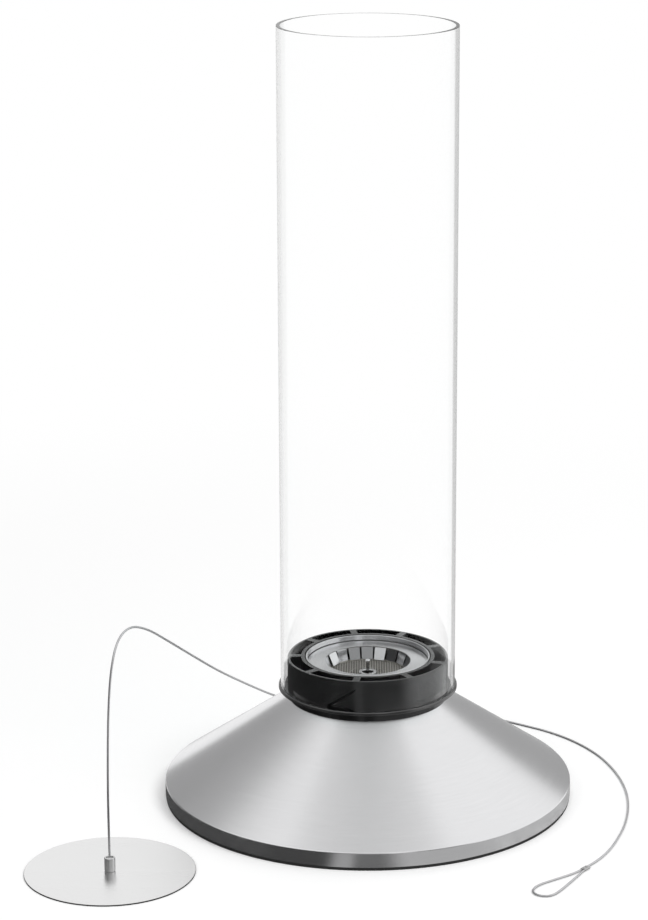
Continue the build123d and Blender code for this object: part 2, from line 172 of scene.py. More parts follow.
class Form:
    """A mesh in the making: points in millimetres and the faces between them."""

    def __init__(self) -> None:
        """Starts with nothing."""
        self.points: list[Vector] = []
        self.faces: list[tuple[int, ...]] = []

    def ring(self, points: Iterable[Sequence[float]]) -> list[int]:
        """Adds the points of one ring and returns their numbers."""
        first = len(self.points)
        self.points.extend(Vector(point) for point in points)
        return list(range(first, len(self.points)))

    def bridge(self, low: Sequence[int], high: Sequence[int]) -> None:
        """Joins two rings of as many points, or a ring and a single tip, by faces.

        Args:
            low: the numbers of one ring's points.
            high: the numbers of the other ring's points.
        """
        count = max(len(low), len(high))
        for here in range(count):
            after = (here + 1) % count
            if len(low) == 1:
                self.faces.append((low[0], high[after], high[here]))
            elif len(high) == 1:
                self.faces.append((low[here], low[after], high[0]))
            else:
                self.faces.append((low[here], low[after], high[after], high[here]))

    def loft(self, rings: Sequence[Sequence[int]]) -> None:
        """Joins each ring to the next and closes both ends.

        Args:
            rings: the numbers of each ring's points.
        """
        for low, high in zip(rings, rings[1:]):
            self.bridge(low, high)
        self.faces.append(tuple(reversed(rings[0])))
        self.faces.append(tuple(rings[-1]))

    def wrap(self, rings: Sequence[Sequence[int]]) -> None:
        """Joins each ring to the next and the last to the first, apart from two tips in a row.

        Args:
            rings: the numbers of each ring's points.
        """
        for here, after in zip(rings, [*rings[1:], rings[0]]):
            if len(here) > 1 or len(after) > 1:
                self.bridge(here, after)

    def turn(self, corners: Sequence[Corner], facets: int, centre: Sequence[float] = (0.0, 0.0)) -> None:
        """Turns a closed outline about a vertical axis. An outline point on the axis becomes one tip.

        Args:
            corners: the outline's corners.
            facets: how many faces go round.
            centre: where the axis stands.
        """
        x, y = centre[:2]
        rings = []
        for radius, height in rounded(corners):
            turns = [tau * step / facets for step in range(facets if radius > 0 else 1)]
            spots = [(x + radius * cos(turn), y + radius * sin(turn), height) for turn in turns]
            rings.append(self.ring(spots))
        self.wrap(rings)

    def tube(self, path: Sequence[Vector], sides: int, radius: Callable[[float, float], float]) -> None:
        """Runs a tube along a path, and closes both of its ends.

        Args:
            path: the points of its centreline.
            sides: how many faces go round it.
            radius: gives the radius from the length so far and the angle round the tube.
        """
        along = (path[1] - path[0]).normalized()
        side = along.orthogonal().normalized()
        turns = [tau * step / sides for step in range(sides)]
        length = 0.0
        rings = []
        for index, point in enumerate(path):
            before = path[max(index - 1, 0)]
            after = path[min(index + 1, len(path) - 1)]
            turned = (after - before).normalized()
            side = (along.rotation_difference(turned) @ side).normalized()
            along = turned
            side = (side - along * side.dot(along)).normalized()
            other = along.cross(side)
            length += (point - before).length
            spokes = [(side * cos(turn) + other * sin(turn)) * radius(length, turn) for turn in turns]
            rings.append(self.ring(point + spoke for spoke in spokes))
        self.loft(rings)

    def piece(self, name: str, crease: float = 32.0) -> Piece:
        """Makes the object, smooth but for edges that turn more than the crease angle.

        Args:
            name: the piece's name.
            crease: the least angle of a sharp edge.

        Returns:
            The finished object, in metres.
        """
        mesh = bpy.data.meshes.new(name)
        mesh.from_pydata([point * MM for point in self.points], [], self.faces)
        work = bmesh.new()
        work.from_mesh(mesh)
        bmesh.ops.recalc_face_normals(work, faces=work.faces)
        work.to_mesh(mesh)
        work.free()
        mesh.shade_smooth()
        mesh.set_sharp_from_angle(angle=radians(crease))
        mesh.validate()
        piece = bpy.data.objects.new(name, mesh)
        bpy.context.scene.collection.objects.link(piece)
        return piece


# Materials


@dataclass(frozen=True)
class Value:
    """What a node gives, on which sums are written plainly."""

    nodes: "Nodes"
    node: bpy.types.Node
    output: int | str = 0

    def at(self, output: int | str) -> "Value":
        """Another output of the same node."""
        return Value(self.nodes, self.node, output)

    def __add__(self, other: "Value | float") -> "Value":
        """The sum."""
        return self.nodes.sum("ADD", self, other)

    def __sub__(self, other: "Value | float") -> "Value":
        """The difference."""
        return self.nodes.sum("SUBTRACT", self, other)

    def __rsub__(self, other: float) -> "Value":
        """The difference from a number."""
        return self.nodes.sum("SUBTRACT", other, self)

    def __mul__(self, other: "Value | float") -> "Value":
        """The product."""
        return self.nodes.sum("MULTIPLY", self, other)

    def __truediv__(self, other: "Value | float") -> "Value":
        """The quotient."""
        return self.nodes.sum("DIVIDE", self, other)

    def __gt__(self, limit: float) -> "Value":
        """1 where it is over the limit, and 0 elsewhere."""
        return self.nodes.sum("GREATER_THAN", self, limit)


class Nodes:
    """Short calls for building the node tree of a material or the world."""

    def __init__(self, owner: bpy.types.Material | bpy.types.World) -> None:
        """Empties the owner's tree.

        Args:
            owner: the material or the world.
        """
        owner.use_nodes = True
        self.owner = owner
        self.tree = owner.node_tree
        self.tree.nodes.clear()

    def add(self, kind: str, inputs: dict | None = None, output: int | str = 0, **settings: str) -> Value:
        """Adds a node.

        Args:
            kind: the node's type name.
            inputs: plain or worked-out values, by the name or number of the node's input.
            output: the name or number of the output that is wanted.
            settings: attributes of the node itself.

        Returns:
            What the node gives.
        """
        node = self.tree.nodes.new(kind)
        for name, value in settings.items():
            setattr(node, name, value)
        for name, value in (inputs or {}).items():
            if isinstance(value, Value):
                self.tree.links.new(value.node.outputs[value.output], node.inputs[name])
            else:
                node.inputs[name].default_value = value
        return Value(self, node, output)

    def sum(self, operation: str, *terms: Value | float) -> Value:
        """Adds a Math node on plain or worked-out values."""
        return self.add("ShaderNodeMath", dict(enumerate(terms)), operation=operation)

    def split(self, place: Value) -> list[Value]:
        """The three parts of a place."""
        parts = self.add("ShaderNodeSeparateXYZ", {"Vector": place})
        return [parts.at(axis) for axis in range(3)]

    def spread(self, source: Value, middle: float, less: float, more: float) -> Value:
        """Maps a pattern from 0 to 1 onto a range round a middle value, from less to more by these shares."""
        values = {"Value": source, "To Min": middle * (1 - less), "To Max": min(1.0, middle * (1 + more))}
        return self.add("ShaderNodeMapRange", values)

    def ramp(self, value: Value, end: float, start: float = 0.0) -> Value:
        """A soft step from 0 at the start to 1 at the end."""
        inputs = {"Value": value, "From Min": start, "From Max": end}
        return self.add("ShaderNodeMapRange", inputs, interpolation_type="SMOOTHSTEP")

    def blend(self, share: Value, first: Triple, second: Triple) -> Value:
        """Mixes two colours by a pattern."""
        inputs = {0: share, 6: (*first, 1.0), 7: (*second, 1.0)}
        return self.add("ShaderNodeMix", inputs, 2, data_type="RGBA")

    def wander(self, share: Value, colour: Triple, darker: float, lighter: float) -> Value:
        """Lets a colour wander by a pattern, from darker to lighter by these shares."""
        dark, light = (tuple(part * tone for part in colour) for tone in (1 - darker, 1 + lighter))
        return self.blend(share, dark, light)

    def place(self) -> Value:
        """The point on the object, in metres."""
        return self.add("ShaderNodeTexCoord", output="Object")

    def noise(self, vector: Value, scale: float, detail: float = 3.0, rough: float = 0.55) -> Value:
        """Adds a Noise texture."""
        inputs = {"Vector": vector, "Scale": scale, "Detail": detail, "Roughness": rough}
        return self.add("ShaderNodeTexNoise", inputs)

    def stretched(self, vector: Value, scale: Triple) -> Value:
        """Scales a place by a different amount along each axis."""
        return self.add("ShaderNodeMapping", {"Vector": vector, "Scale": scale})

    def bump(self, height: Value, depth: float) -> Value:
        """Turns a pattern into surface relief of a depth in millimetres."""
        return self.add("ShaderNodeBump", {"Height": height, "Distance": depth * MM, "Strength": 1.0})

    def mix(self, share: Value, first: Value, second: Value) -> Value:
        """Mixes two shaders."""
        return self.add("ShaderNodeMixShader", {0: share, 1: first, 2: second})


@dataclass(frozen=True)
class Finish:
    """What every finish has, which is the record's slot that it dresses."""

    slot: Slot

    def surface(self, nodes: Nodes) -> dict[str, Value]:
        """Builds what the material's output shows."""
        raise NotImplementedError

    @cache
    def material(self) -> bpy.types.Material:
        """Builds the material once, for all the pieces that have this finish."""
        nodes = Nodes(bpy.data.materials.new(self.slot.value))
        nodes.add("ShaderNodeOutputMaterial", self.surface(nodes))
        return nodes.owner


@dataclass(frozen=True)
class BrushedMetal(Finish):
    """Bare metal with fine marks left by spinning, turning or brushing.

    Args:
        colour: the metal's own colour.
        roughness: how blurred its reflections are.
        anisotropy: how much more they spread across the marks than along them.
        grain: which way the marks run.
        centre: where the turning axis stands, in millimetres.
        marks_per_mm: how many marks lie side by side on a millimetre.
        relief: the depth of the marks, in millimetres.
        mottle: how much the tone wanders, as a share.
        marks_around: how many times the marks change in a turn.
        straight_marks: how slowly straight marks change along their run.
        stroke_stretch: how fast the strokes change beside the marks: two values in a turn, one across it.
        stroke_tone: how strongly the strokes show.
        bands: how much broader the bands of gloss are than the marks.
        clouds: how many clouds of tone there are on a metre.
        mark_tone: the marks' share in the tone, beside the clouds.
        gloss_spread: how much the roughness wanders, as a share.
    """

    colour: Triple
    roughness: float
    anisotropy: float = 0.0
    grain: Grain = Grain.AROUND
    centre: Pair = (0.0, 0.0)
    marks_per_mm: float = 2.0
    relief: float = 0.0006
    mottle: float = 0.05
    marks_around: float = 4.0
    straight_marks: float = 0.02
    stroke_stretch: Triple = (1.5, 1.5, 0.3)
    stroke_tone: float = 0.4
    bands: float = 0.07
    clouds: float = 18.0
    mark_tone: float = 0.55
    gloss_spread: float = 0.2

    def mark_place(self, nodes: Nodes) -> Value:
        """Works out a place that changes fast across the marks and slowly along them.

        Args:
            nodes: the material's nodes.

        Returns:
            That place.
        """
        across = self.marks_per_mm / MM
        middle = (-self.centre[0] * MM, -self.centre[1] * MM, 0.0)
        moved = nodes.add("ShaderNodeMapping", {"Vector": nodes.place(), "Location": middle})
        if self.grain is Grain.ACROSS:
            return nodes.stretched(moved, (across * self.straight_marks, across, across))
        x, y, z = nodes.split(moved)
        radius = nodes.sum("SQRT", x * x + y * y)
        reach = nodes.sum("MAXIMUM", radius, MM * MM)
        turn_x = x / reach * self.marks_around
        turn_y = y / reach * self.marks_around
        return nodes.add("ShaderNodeCombineXYZ", {"X": turn_x, "Y": turn_y, "Z": (radius - z) * across})

    def surface(self, nodes: Nodes) -> dict[str, Value]:
        """Builds the metal from marks, bands, clouds and strokes.

        Args:
            nodes: the material's nodes.

        Returns:
            What the material's output shows.
        """
        place = self.mark_place(nodes)
        marks = nodes.noise(place, 1.0, detail=2.0)
        bands = nodes.noise(place, self.bands, detail=2.0)
        clouds = nodes.noise(nodes.place(), self.clouds)
        strokes = nodes.noise(nodes.stretched(place, self.stroke_stretch), 1.0, detail=1.0)
        tone = marks * self.mark_tone + clouds * (1 - self.mark_tone) + (strokes - 0.5) * self.stroke_tone
        gloss = marks * 0.5 + bands * 0.5
        inputs = {
            "Base Color": nodes.wander(tone, self.colour, self.mottle, self.mottle),
            "Metallic": 1.0,
            "Roughness": nodes.spread(gloss, self.roughness, self.gloss_spread, self.gloss_spread),
            "Normal": nodes.bump(marks, self.relief),
        }
        if self.anisotropy:
            inputs |= {"Anisotropic": self.anisotropy, "Anisotropic Rotation": 0.25}
            if self.grain is Grain.AROUND and self.centre == (0.0, 0.0):
                inputs["Tangent"] = nodes.add("ShaderNodeTangent", direction_type="RADIAL", axis="Z")
        return {"Surface": nodes.add("ShaderNodeBsdfPrincipled", inputs)}


@dataclass(frozen=True)
class BlackCoat(Finish):
    """Semi-gloss black coating on cast metal, with a faint orange peel and a breath of dust."""

    slot: Slot = Slot.BLACK_ENAMEL
    colour: Triple = (0.003, 0.003, 0.0032)
    roughness: float = 0.13
    refraction: float = 2.0
    peel_per_mm: float = 0.7
    peel_depth: float = 0.0002
    dust_per_metre: float = 60.0
    darker: float = 0.25
    lighter: float = 0.35
    glossier: float = 0.15
    duller: float = 0.2

    def surface(self, nodes: Nodes) -> dict[str, Value]:
        """Builds the coat.

        Args:
            nodes: the material's nodes.

        Returns:
            What the material's output shows.
        """
        peel = nodes.noise(nodes.place(), self.peel_per_mm / MM, detail=2.0)
        dust = nodes.noise(nodes.place(), self.dust_per_metre, detail=6.0)
        inputs = {
            "Base Color": nodes.wander(dust, self.colour, self.darker, self.lighter),
            "Roughness": nodes.spread(dust, self.roughness, self.glossier, self.duller),
            "IOR": self.refraction,
            "Normal": nodes.bump(peel, self.peel_depth),
        }
        return {"Surface": nodes.add("ShaderNodeBsdfPrincipled", inputs)}


@dataclass(frozen=True)
class ClearGlass(Finish):
    """Clear heat-proof glass. Seen edge on, it darkens a little by its tint, and its edges also carry painted
    reflection: in the glass's own reflections the world is greyer behind the object.
    """

    slot: Slot = Slot.CLEAR_GLASS
    refraction: float = 1.47
    tint: Triple = (0.93, 0.95, 0.95)
    tint_per_metre: float = 1.0
    mirror_tint: Triple = (0.02, 0.02, 0.02)
    passing_tint: Triple = (0.97, 0.98, 0.98)
    ripple_depth: float = 0.002
    ripples_per_metre: Triple = (14.0, 14.0, 4.0)

    def surface(self, nodes: Nodes) -> dict[str, Value]:
        """Builds the glass. Lamps shine through it, and what metal mirrors passes it, without a bend.

        Args:
            nodes: the material's nodes.

        Returns:
            What the material's output shows.
        """
        ripple = nodes.noise(nodes.stretched(nodes.place(), self.ripples_per_metre), 1.0, detail=1.0)
        inputs = {
            "Base Color": WHITE,
            "Roughness": 0.0,
            "IOR": self.refraction,
            "Specular Tint": (*self.mirror_tint, 1.0),
            "Transmission Weight": 1.0,
            "Normal": nodes.bump(ripple, self.ripple_depth),
        }
        glass = nodes.add("ShaderNodeBsdfPrincipled", inputs)
        open_way = nodes.add("ShaderNodeBsdfTransparent", {"Color": (*self.passing_tint, 1.0)})
        ray = nodes.add("ShaderNodeLightPath").at
        in_wall = nodes.sum("MODULO", ray("Transmission Depth"), 2.0)
        passing = (ray("Glossy Depth") > 0.5) * nodes.sum("LESS_THAN", in_wall, 0.5)
        dull = nodes.sum("MAXIMUM", ray("Is Shadow Ray"), ray("Is Diffuse Ray"))
        surface = nodes.mix(nodes.sum("MAXIMUM", dull, passing), glass, open_way)
        absorption = {"Color": (*self.tint, 1.0), "Density": self.tint_per_metre}
        return {"Surface": surface, "Volume": nodes.add("ShaderNodeVolumeAbsorption", absorption)}


@dataclass(frozen=True)
class SoftSolid(Finish):
    """A dull, grainy or fibrous material: rubber, silicone, foam or ceramic wool.

    Args:
        colour: its colour.
        roughness: how dull it is.
        grain_per_mm: how many grains lie side by side on a millimetre.
        grain_depth: the depth of the grain, in millimetres.
        mottle: how much the tone wanders, as a share.
        grain_spread: how uneven the grain is.
        patches: how many patches of tone there are on a metre.
        grain_tone: the grain's share in the tone, beside the patches.
        gloss_spread: how much the roughness wanders, as a share.
    """

    colour: Triple
    roughness: float
    grain_per_mm: float
    grain_depth: float
    mottle: float = 0.25
    grain_spread: float = 0.65
    patches: float = 45.0
    grain_tone: float = 0.6
    gloss_spread: float = 0.1

    def surface(self, nodes: Nodes) -> dict[str, Value]:
        """Builds the soft material.

        Args:
            nodes: the material's nodes.

        Returns:
            What the material's output shows.
        """
        grain = nodes.noise(nodes.place(), self.grain_per_mm / MM, detail=4.0, rough=self.grain_spread)
        patches = nodes.noise(nodes.place(), self.patches, detail=3.0)
        tone = grain * self.grain_tone + patches * (1 - self.grain_tone)
        inputs = {
            "Base Color": nodes.wander(tone, self.colour, self.mottle, self.mottle),
            "Roughness": nodes.spread(patches, self.roughness, self.gloss_spread, self.gloss_spread),
            "Normal": nodes.bump(grain, self.grain_depth),
        }
        return {"Surface": nodes.add("ShaderNodeBsdfPrincipled", inputs)}


class Palette:
    """Every finish of the fireplace."""

    cone = BrushedMetal(Slot.BRUSHED_STEEL, (0.79, 0.79, 0.80), 0.24, 0.6, marks_per_mm=1.6)
    coat = BlackCoat()
    neck_coat = BlackCoat(refraction=1.65)
    slot_coat = BlackCoat(roughness=0.45, refraction=1.75)
    # painted shade: a matt copy of the coat, laid along the pointer's edges to stand in for their shadow
    # lines
    pointer_shade_coat = BlackCoat(roughness=0.6, refraction=1.2)
    glass = ClearGlass()
    rubber = SoftSolid(Slot.SEAL_RUBBER, (0.022, 0.022, 0.022), 0.8, 1.5, 0.02)
    silicone = SoftSolid(Slot.SILICONE, (0.05, 0.05, 0.05), 0.55, 1.0, 0.01)
    zinc = BrushedMetal(Slot.ZINC_STEEL, (0.60, 0.60, 0.62), 0.34, mottle=0.14)
    burner = BrushedMetal(Slot.BURNER_STEEL, (0.74, 0.74, 0.75), 0.22, 0.8, marks_per_mm=3.0)
    crown = BrushedMetal(Slot.BURNER_STEEL, (0.74, 0.74, 0.75), 0.12, marks_per_mm=3.0)
    # painted shade: a dark ring in the joint inside the lid's seam, for the dark line where the seam meets
    # the lid
    joint_shade = BrushedMetal(Slot.BURNER_STEEL, (0.10, 0.10, 0.10), 0.5, mottle=0.15)
    polished = BrushedMetal(Slot.POLISHED_STEEL, (0.84, 0.84, 0.85), 0.09, relief=0.0002)
    ferrule = BrushedMetal(Slot.POLISHED_STEEL, (0.7, 0.7, 0.7), 0.36, centre=DISC_CENTRE, marks_per_mm=5.0)
    eyelet = BrushedMetal(Slot.POLISHED_STEEL, (0.50, 0.50, 0.50), 0.10, relief=0.0002)
    pin = BrushedMetal(Slot.POLISHED_STEEL, (0.30, 0.30, 0.30), 0.2, relief=0.0002)
    cloth = BrushedMetal(Slot.MESH_STEEL, (0.44, 0.425, 0.395), 0.30, mottle=0.2)
    wool = SoftSolid(Slot.CERAMIC_WOOL, (0.06, 0.058, 0.055), 0.95, 2.2, 0.25, 0.45)
    foam = SoftSolid(Slot.FLOAT_FOAM, (0.05, 0.05, 0.05), 0.85, 2.6, 0.08)
    disc = BrushedMetal(
        Slot.SNUFFER_STEEL, (0.82, 0.82, 0.82), 0.26, 0.0, Grain.ACROSS, DISC_CENTRE, 1.6, 0.0005, 0.03
    )
    # painted shade: a dark copy of the disc's steel for its rim, standing in for the contact shadow round the
    # disc's edge
    painted_rim_shade = BrushedMetal(Slot.SNUFFER_STEEL, (0.14, 0.14, 0.14), 0.45, mottle=0.15)
    rope = BrushedMetal(Slot.WIRE_ROPE, (0.62, 0.62, 0.63), 0.30, mottle=0.15)
    crimp = BrushedMetal(Slot.CRIMP_METAL, (0.50, 0.50, 0.50), 0.30, mottle=0.15)


# Sub-assemblies


class Assembly:
    """Pieces that all ride on one body."""

    body: Body

    def dress(self, piece: Piece, finish: Finish) -> None:
        """Puts one finish all over a piece."""
        piece.data.materials.clear()
        piece.data.materials.append(finish.material())

    def keep(self, finish: Finish, *names: str) -> None:
        """Gives nodes of the frame, which stay as they are, their finish."""
        for name in names:
            self.dress(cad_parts[name], finish)
            log.info("%s stays, with a new finish", name)

    def seat(self, piece: Piece, finish: Finish, *nodes: str) -> Piece:
        """Dresses a new piece, lets it ride on the body and hides the frame's nodes that it stands for.

        Args:
            piece: the new piece, already in its place.
            finish: its finish, which also gives its slot.
            nodes: the frame's nodes that it stands for.

        Returns:
            The same piece.
        """
        self.dress(piece, finish)
        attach(piece, self.body.value)
        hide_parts(*nodes)
        log.info("%s rides on %s, with %d faces", piece.name, self.body.value, len(piece.data.polygons))
        return piece

    def turned(
        self,
        name: str,
        corners: Sequence[Corner],
        facets: Facets,
        finish: Finish,
        node: str,
        centre: Pair = (0.0, 0.0),
    ) -> Piece:
        """Makes and seats one turned piece.

        Args:
            name: the piece's name.
            corners: the corners of its closed outline.
            facets: how many faces go round.
            finish: its finish.
            node: the frame's node that it stands for.
            centre: where the turning axis stands.

        Returns:
            The finished piece.
        """
        form = Form()
        form.turn(corners, facets, centre)
        return self.seat(form.piece(name), finish, node)


@dataclass
class Snuffer(Assembly):
    """The disc that puts the flame out, its ferrule and screw, and the wire rope with a crimped eye.

    The rope's route, from the arch over the table to the eye, is in metres.
    """

    body = Body.SNUFFER
    disc_radius: float = 56.1
    sheet: float = 1.0
    disc_edge: float = 0.22
    sink_radius: float = 2.85
    screw_radius: float = 1.6
    screw_top: float = 5.5
    ferrule_radius: float = 3.6
    ferrule_top: float = 10.2
    ferrule_chamfer: float = 0.4
    ferrule_wall: float = 1.1
    ferrule_well: float = 1.2
    ferrule_undercut: float = 0.45
    well_round: float = 0.25
    well_taper: float = 0.3
    well_slope: float = 0.4
    rope_radius: float = 0.75
    bore_share: float = 0.9
    strands: int = 6
    strand_cut: float = 0.16
    lay_length: float = 9.0
    rope_step: float = 0.45
    rope_sides: int = 24
    rope_length: float = 1.084
    crimp_length: float = 6.0
    crimp_width: float = 3.9
    crimp_height: float = 2.0
    crimp_stations: int = 28
    crimp_sides: int = 40
    mouth_round: float = 0.3
    mouth_reach: float = 0.5
    dents: int = 2
    dent_depth: float = 0.16
    dent_start: float = 0.12
    strand_offset: float = 0.85
    tail_stub: float = 1.4
    rope_level: float = 0.0008
    crimp_back: Pair = (0.1440, -0.1364)
    crimp_way: Pair = (-0.62, -0.785)
    arch: tuple[Triple, ...] = (
        (-0.1684, -0.1415, 0.0102), (-0.1687, -0.1420, 0.0380), (-0.1682, -0.1416, 0.0760),
        (-0.1674, -0.1376, 0.1110), (-0.1656, -0.1308, 0.1370), (-0.1620, -0.1200, 0.1528),
        (-0.1550, -0.1045, 0.1568), (-0.1450, -0.0868, 0.1488), (-0.1344, -0.0630, 0.1330),
        (-0.1202, -0.0305, 0.1112), (-0.1032, 0.0100, 0.0848), (-0.0845, 0.0510, 0.0600),
        (-0.0665, 0.0915, 0.0365), (-0.0520, 0.1285, 0.0195), (-0.0395, 0.1570, 0.0050),
    )
    on_table: tuple[Pair, ...] = (
        (-0.0220, 0.1750), (0.0060, 0.1820), (0.0390, 0.1755), (0.0715, 0.1570),
        (0.1070, 0.1336), (0.1390, 0.1100), (0.1628, 0.0756), (0.1760, 0.0355),
        (0.1812, -0.0095), (0.1765, -0.0570), (0.1645, -0.0985), (0.1536, -0.1220),
    )
    eye: tuple[Pair, ...] = (
        (0.1338, -0.1468), (0.1215, -0.1562), (0.1092, -0.1656), (0.1052, -0.1758), (0.1100, -0.1828),
        (0.1184, -0.1826), (0.1258, -0.1708), (0.1330, -0.1572), (0.1386, -0.1466),
    )

    def crimp_frame(self) -> tuple[Vector, Vector, Vector]:
        """The back of the crimp, the way it points and its side, as vectors in metres."""
        back = Vector((*self.crimp_back, self.rope_level))
        way = Vector((*self.crimp_way, 0.0)).normalized()
        return back, way, Vector((way.y, -way.x, 0.0))

    def route(self) -> list[Vector]:
        """Gives the rope's control points: to the crimp, through it, round the eye and back through it.

        Returns:
            The points, in metres.
        """
        back, way, side = self.crimp_frame()
        offset = side * self.strand_offset * MM
        front = back + way * self.crimp_length * MM
        stub = back - way * self.tail_stub * MM
        table = [Vector((*point, self.rope_level)) for point in self.on_table]
        eye = [Vector((*point, self.rope_level)) for point in self.eye]
        arch = [Vector(point) for point in self.arch]
        return [*arch, *table, back + offset, front + offset, *eye, front - offset, stub - offset]

    def centreline(self) -> list[Vector]:
        """Reads the rope's smooth line from a NURBS curve through its route.

        Returns:
            The line's points, in millimetres and a rope step apart, with both ends kept.
        """
        curve = bpy.data.curves.new("rope_line", "CURVE")
        curve.dimensions = "3D"
        curve.resolution_u = 24
        spline = curve.splines.new("NURBS")
        route = self.route()
        spline.points.add(len(route) - 1)
        for knot, point in zip(spline.points, route):
            knot.co = (*point, 1.0)
        spline.order_u = 3
        spline.use_endpoint_u = True
        holder = bpy.data.objects.new("rope_line", curve)
        line = bpy.data.meshes.new_from_object(holder)
        points = [vertex.co / MM for vertex in line.vertices]
        bpy.data.objects.remove(holder)
        bpy.data.curves.remove(curve)
        bpy.data.meshes.remove(line)
        spaced = [points[0].copy()]
        left = self.rope_step
        for start, end in zip(points, points[1:]):
            run = (end - start).length
            done = 0.0
            while run - done >= left:
                done += left
                spaced.append(start.lerp(end, done / run))
                left = self.rope_step
            left -= run - done
        if (points[-1] - spaced[-1]).length > self.rope_step / 4:
            spaced.append(points[-1].copy())
        return spaced

    def strand_radius(self, length: float, angle: float) -> float:
        """The rope's radius where its strands wind round it."""
        turn = angle - tau * length / self.lay_length
        return self.rope_radius * (1 - self.strand_cut * (1 - abs(cos(self.strands / 2 * turn))))

    def build_rope(self, crimp: Piece) -> None:
        """Polished metal doesn't mirror it.

        Args:
            crimp: the sleeve that closes the eye. Not used.
        """
        line = self.centreline()
        form = Form()
        form.tube(line, self.rope_sides, self.strand_radius)
        rope = self.seat(form.piece("wire_rope", crease=60.0), Palette.rope, "snuffer_rope", "rope_eye")
        rope.visible_glossy = False
        [tuple(point * MM) for point in line]

    def build_crimp(self) -> Piece:
        """Builds the oval sleeve, rounded at its mouths and pressed in at two places.

        Returns:
            The sleeve.
        """
        back, way, side = self.crimp_frame()
        up = Vector((0.0, 0.0, 1.0))
        half = self.crimp_height / 2
        start = Vector((back.x / MM, back.y / MM, half))
        straight = self.crimp_width / 2 - half
        form = Form()
        rings = []
        for station in range(self.crimp_stations + 1):
            share = station / self.crimp_stations
            mouth = min(share, 1 - share) * self.crimp_length
            shrink = self.mouth_round * max(0.0, 1 - mouth / self.mouth_reach) ** 2
            pressed = self.dent_start < share < 1 - self.dent_start
            dent = self.dent_depth * (sin(2 * pi * share * self.dents - pi / 2) + 1) / 2 if pressed else 0.0
            middle = start + way * self.crimp_length * share
            points = []
            for step in range(self.crimp_sides):
                angle = tau * step / self.crimp_sides
                reach = half - shrink - dent * abs(sin(angle))
                across = (straight if cos(angle) >= 0 else -straight) + reach * cos(angle)
                points.append(middle + side * across + up * (reach * sin(angle)))
            rings.append(form.ring(points))
        form.loft(rings)
        return self.seat(form.piece("rope_sleeve", crease=50.0), Palette.crimp, "rope_crimp")

    def build_disc(self) -> None:
        """Builds the disc with its edges broken and its countersunk hole. Its rim is painted dark: painted
        shade for the contact shadow round the disc's edge.
        """
        least_level = 0.8
        corners = [
            (self.sink_radius, 0.0),
            (self.disc_radius, 0.0, self.disc_edge),
            (self.disc_radius, self.sheet, self.disc_edge),
            (self.screw_radius, self.sheet),
        ]
        disc = self.turned("snuffer_plate", corners, Facets.BODY, Palette.disc, "snuffer_disc", DISC_CENTRE)
        # the rim's steep faces get the dark finish: painted shade for the contact shadow round the edge
        disc.data.materials.append(Palette.painted_rim_shade.material())
        for face in disc.data.polygons:
            face.material_index = 1 if abs(face.normal.z) < least_level else 0

    def build_ferrule(self) -> None:
        """Builds the turned ferrule, with a small well round the rope at its top."""
        inner = self.ferrule_radius - self.ferrule_wall
        neck = self.ferrule_radius - self.ferrule_undercut
        step = self.sheet + self.ferrule_undercut
        well = self.ferrule_top - self.ferrule_well
        bore = self.rope_radius * self.bore_share
        corners = [
            (self.screw_radius, self.sheet),
            (neck, self.sheet),
            (neck, step),
            (self.ferrule_radius, step, CRISP),
            (self.ferrule_radius, self.ferrule_top, self.ferrule_chamfer),
            (inner, self.ferrule_top, self.well_round),
            (inner - self.well_taper, well),
            (bore, well - self.well_slope),
            (bore, self.screw_top),
            (self.screw_radius, self.screw_top),
        ]
        self.turned("snuffer_post", corners, Facets.POST, Palette.ferrule, "snuffer_ferrule", DISC_CENTRE)

    def build(self) -> None:
        """Builds the snuffer."""
        self.build_rope(self.build_crimp())
        self.build_disc()
        self.build_ferrule()
        self.keep(Palette.zinc, "snuffer_screw")


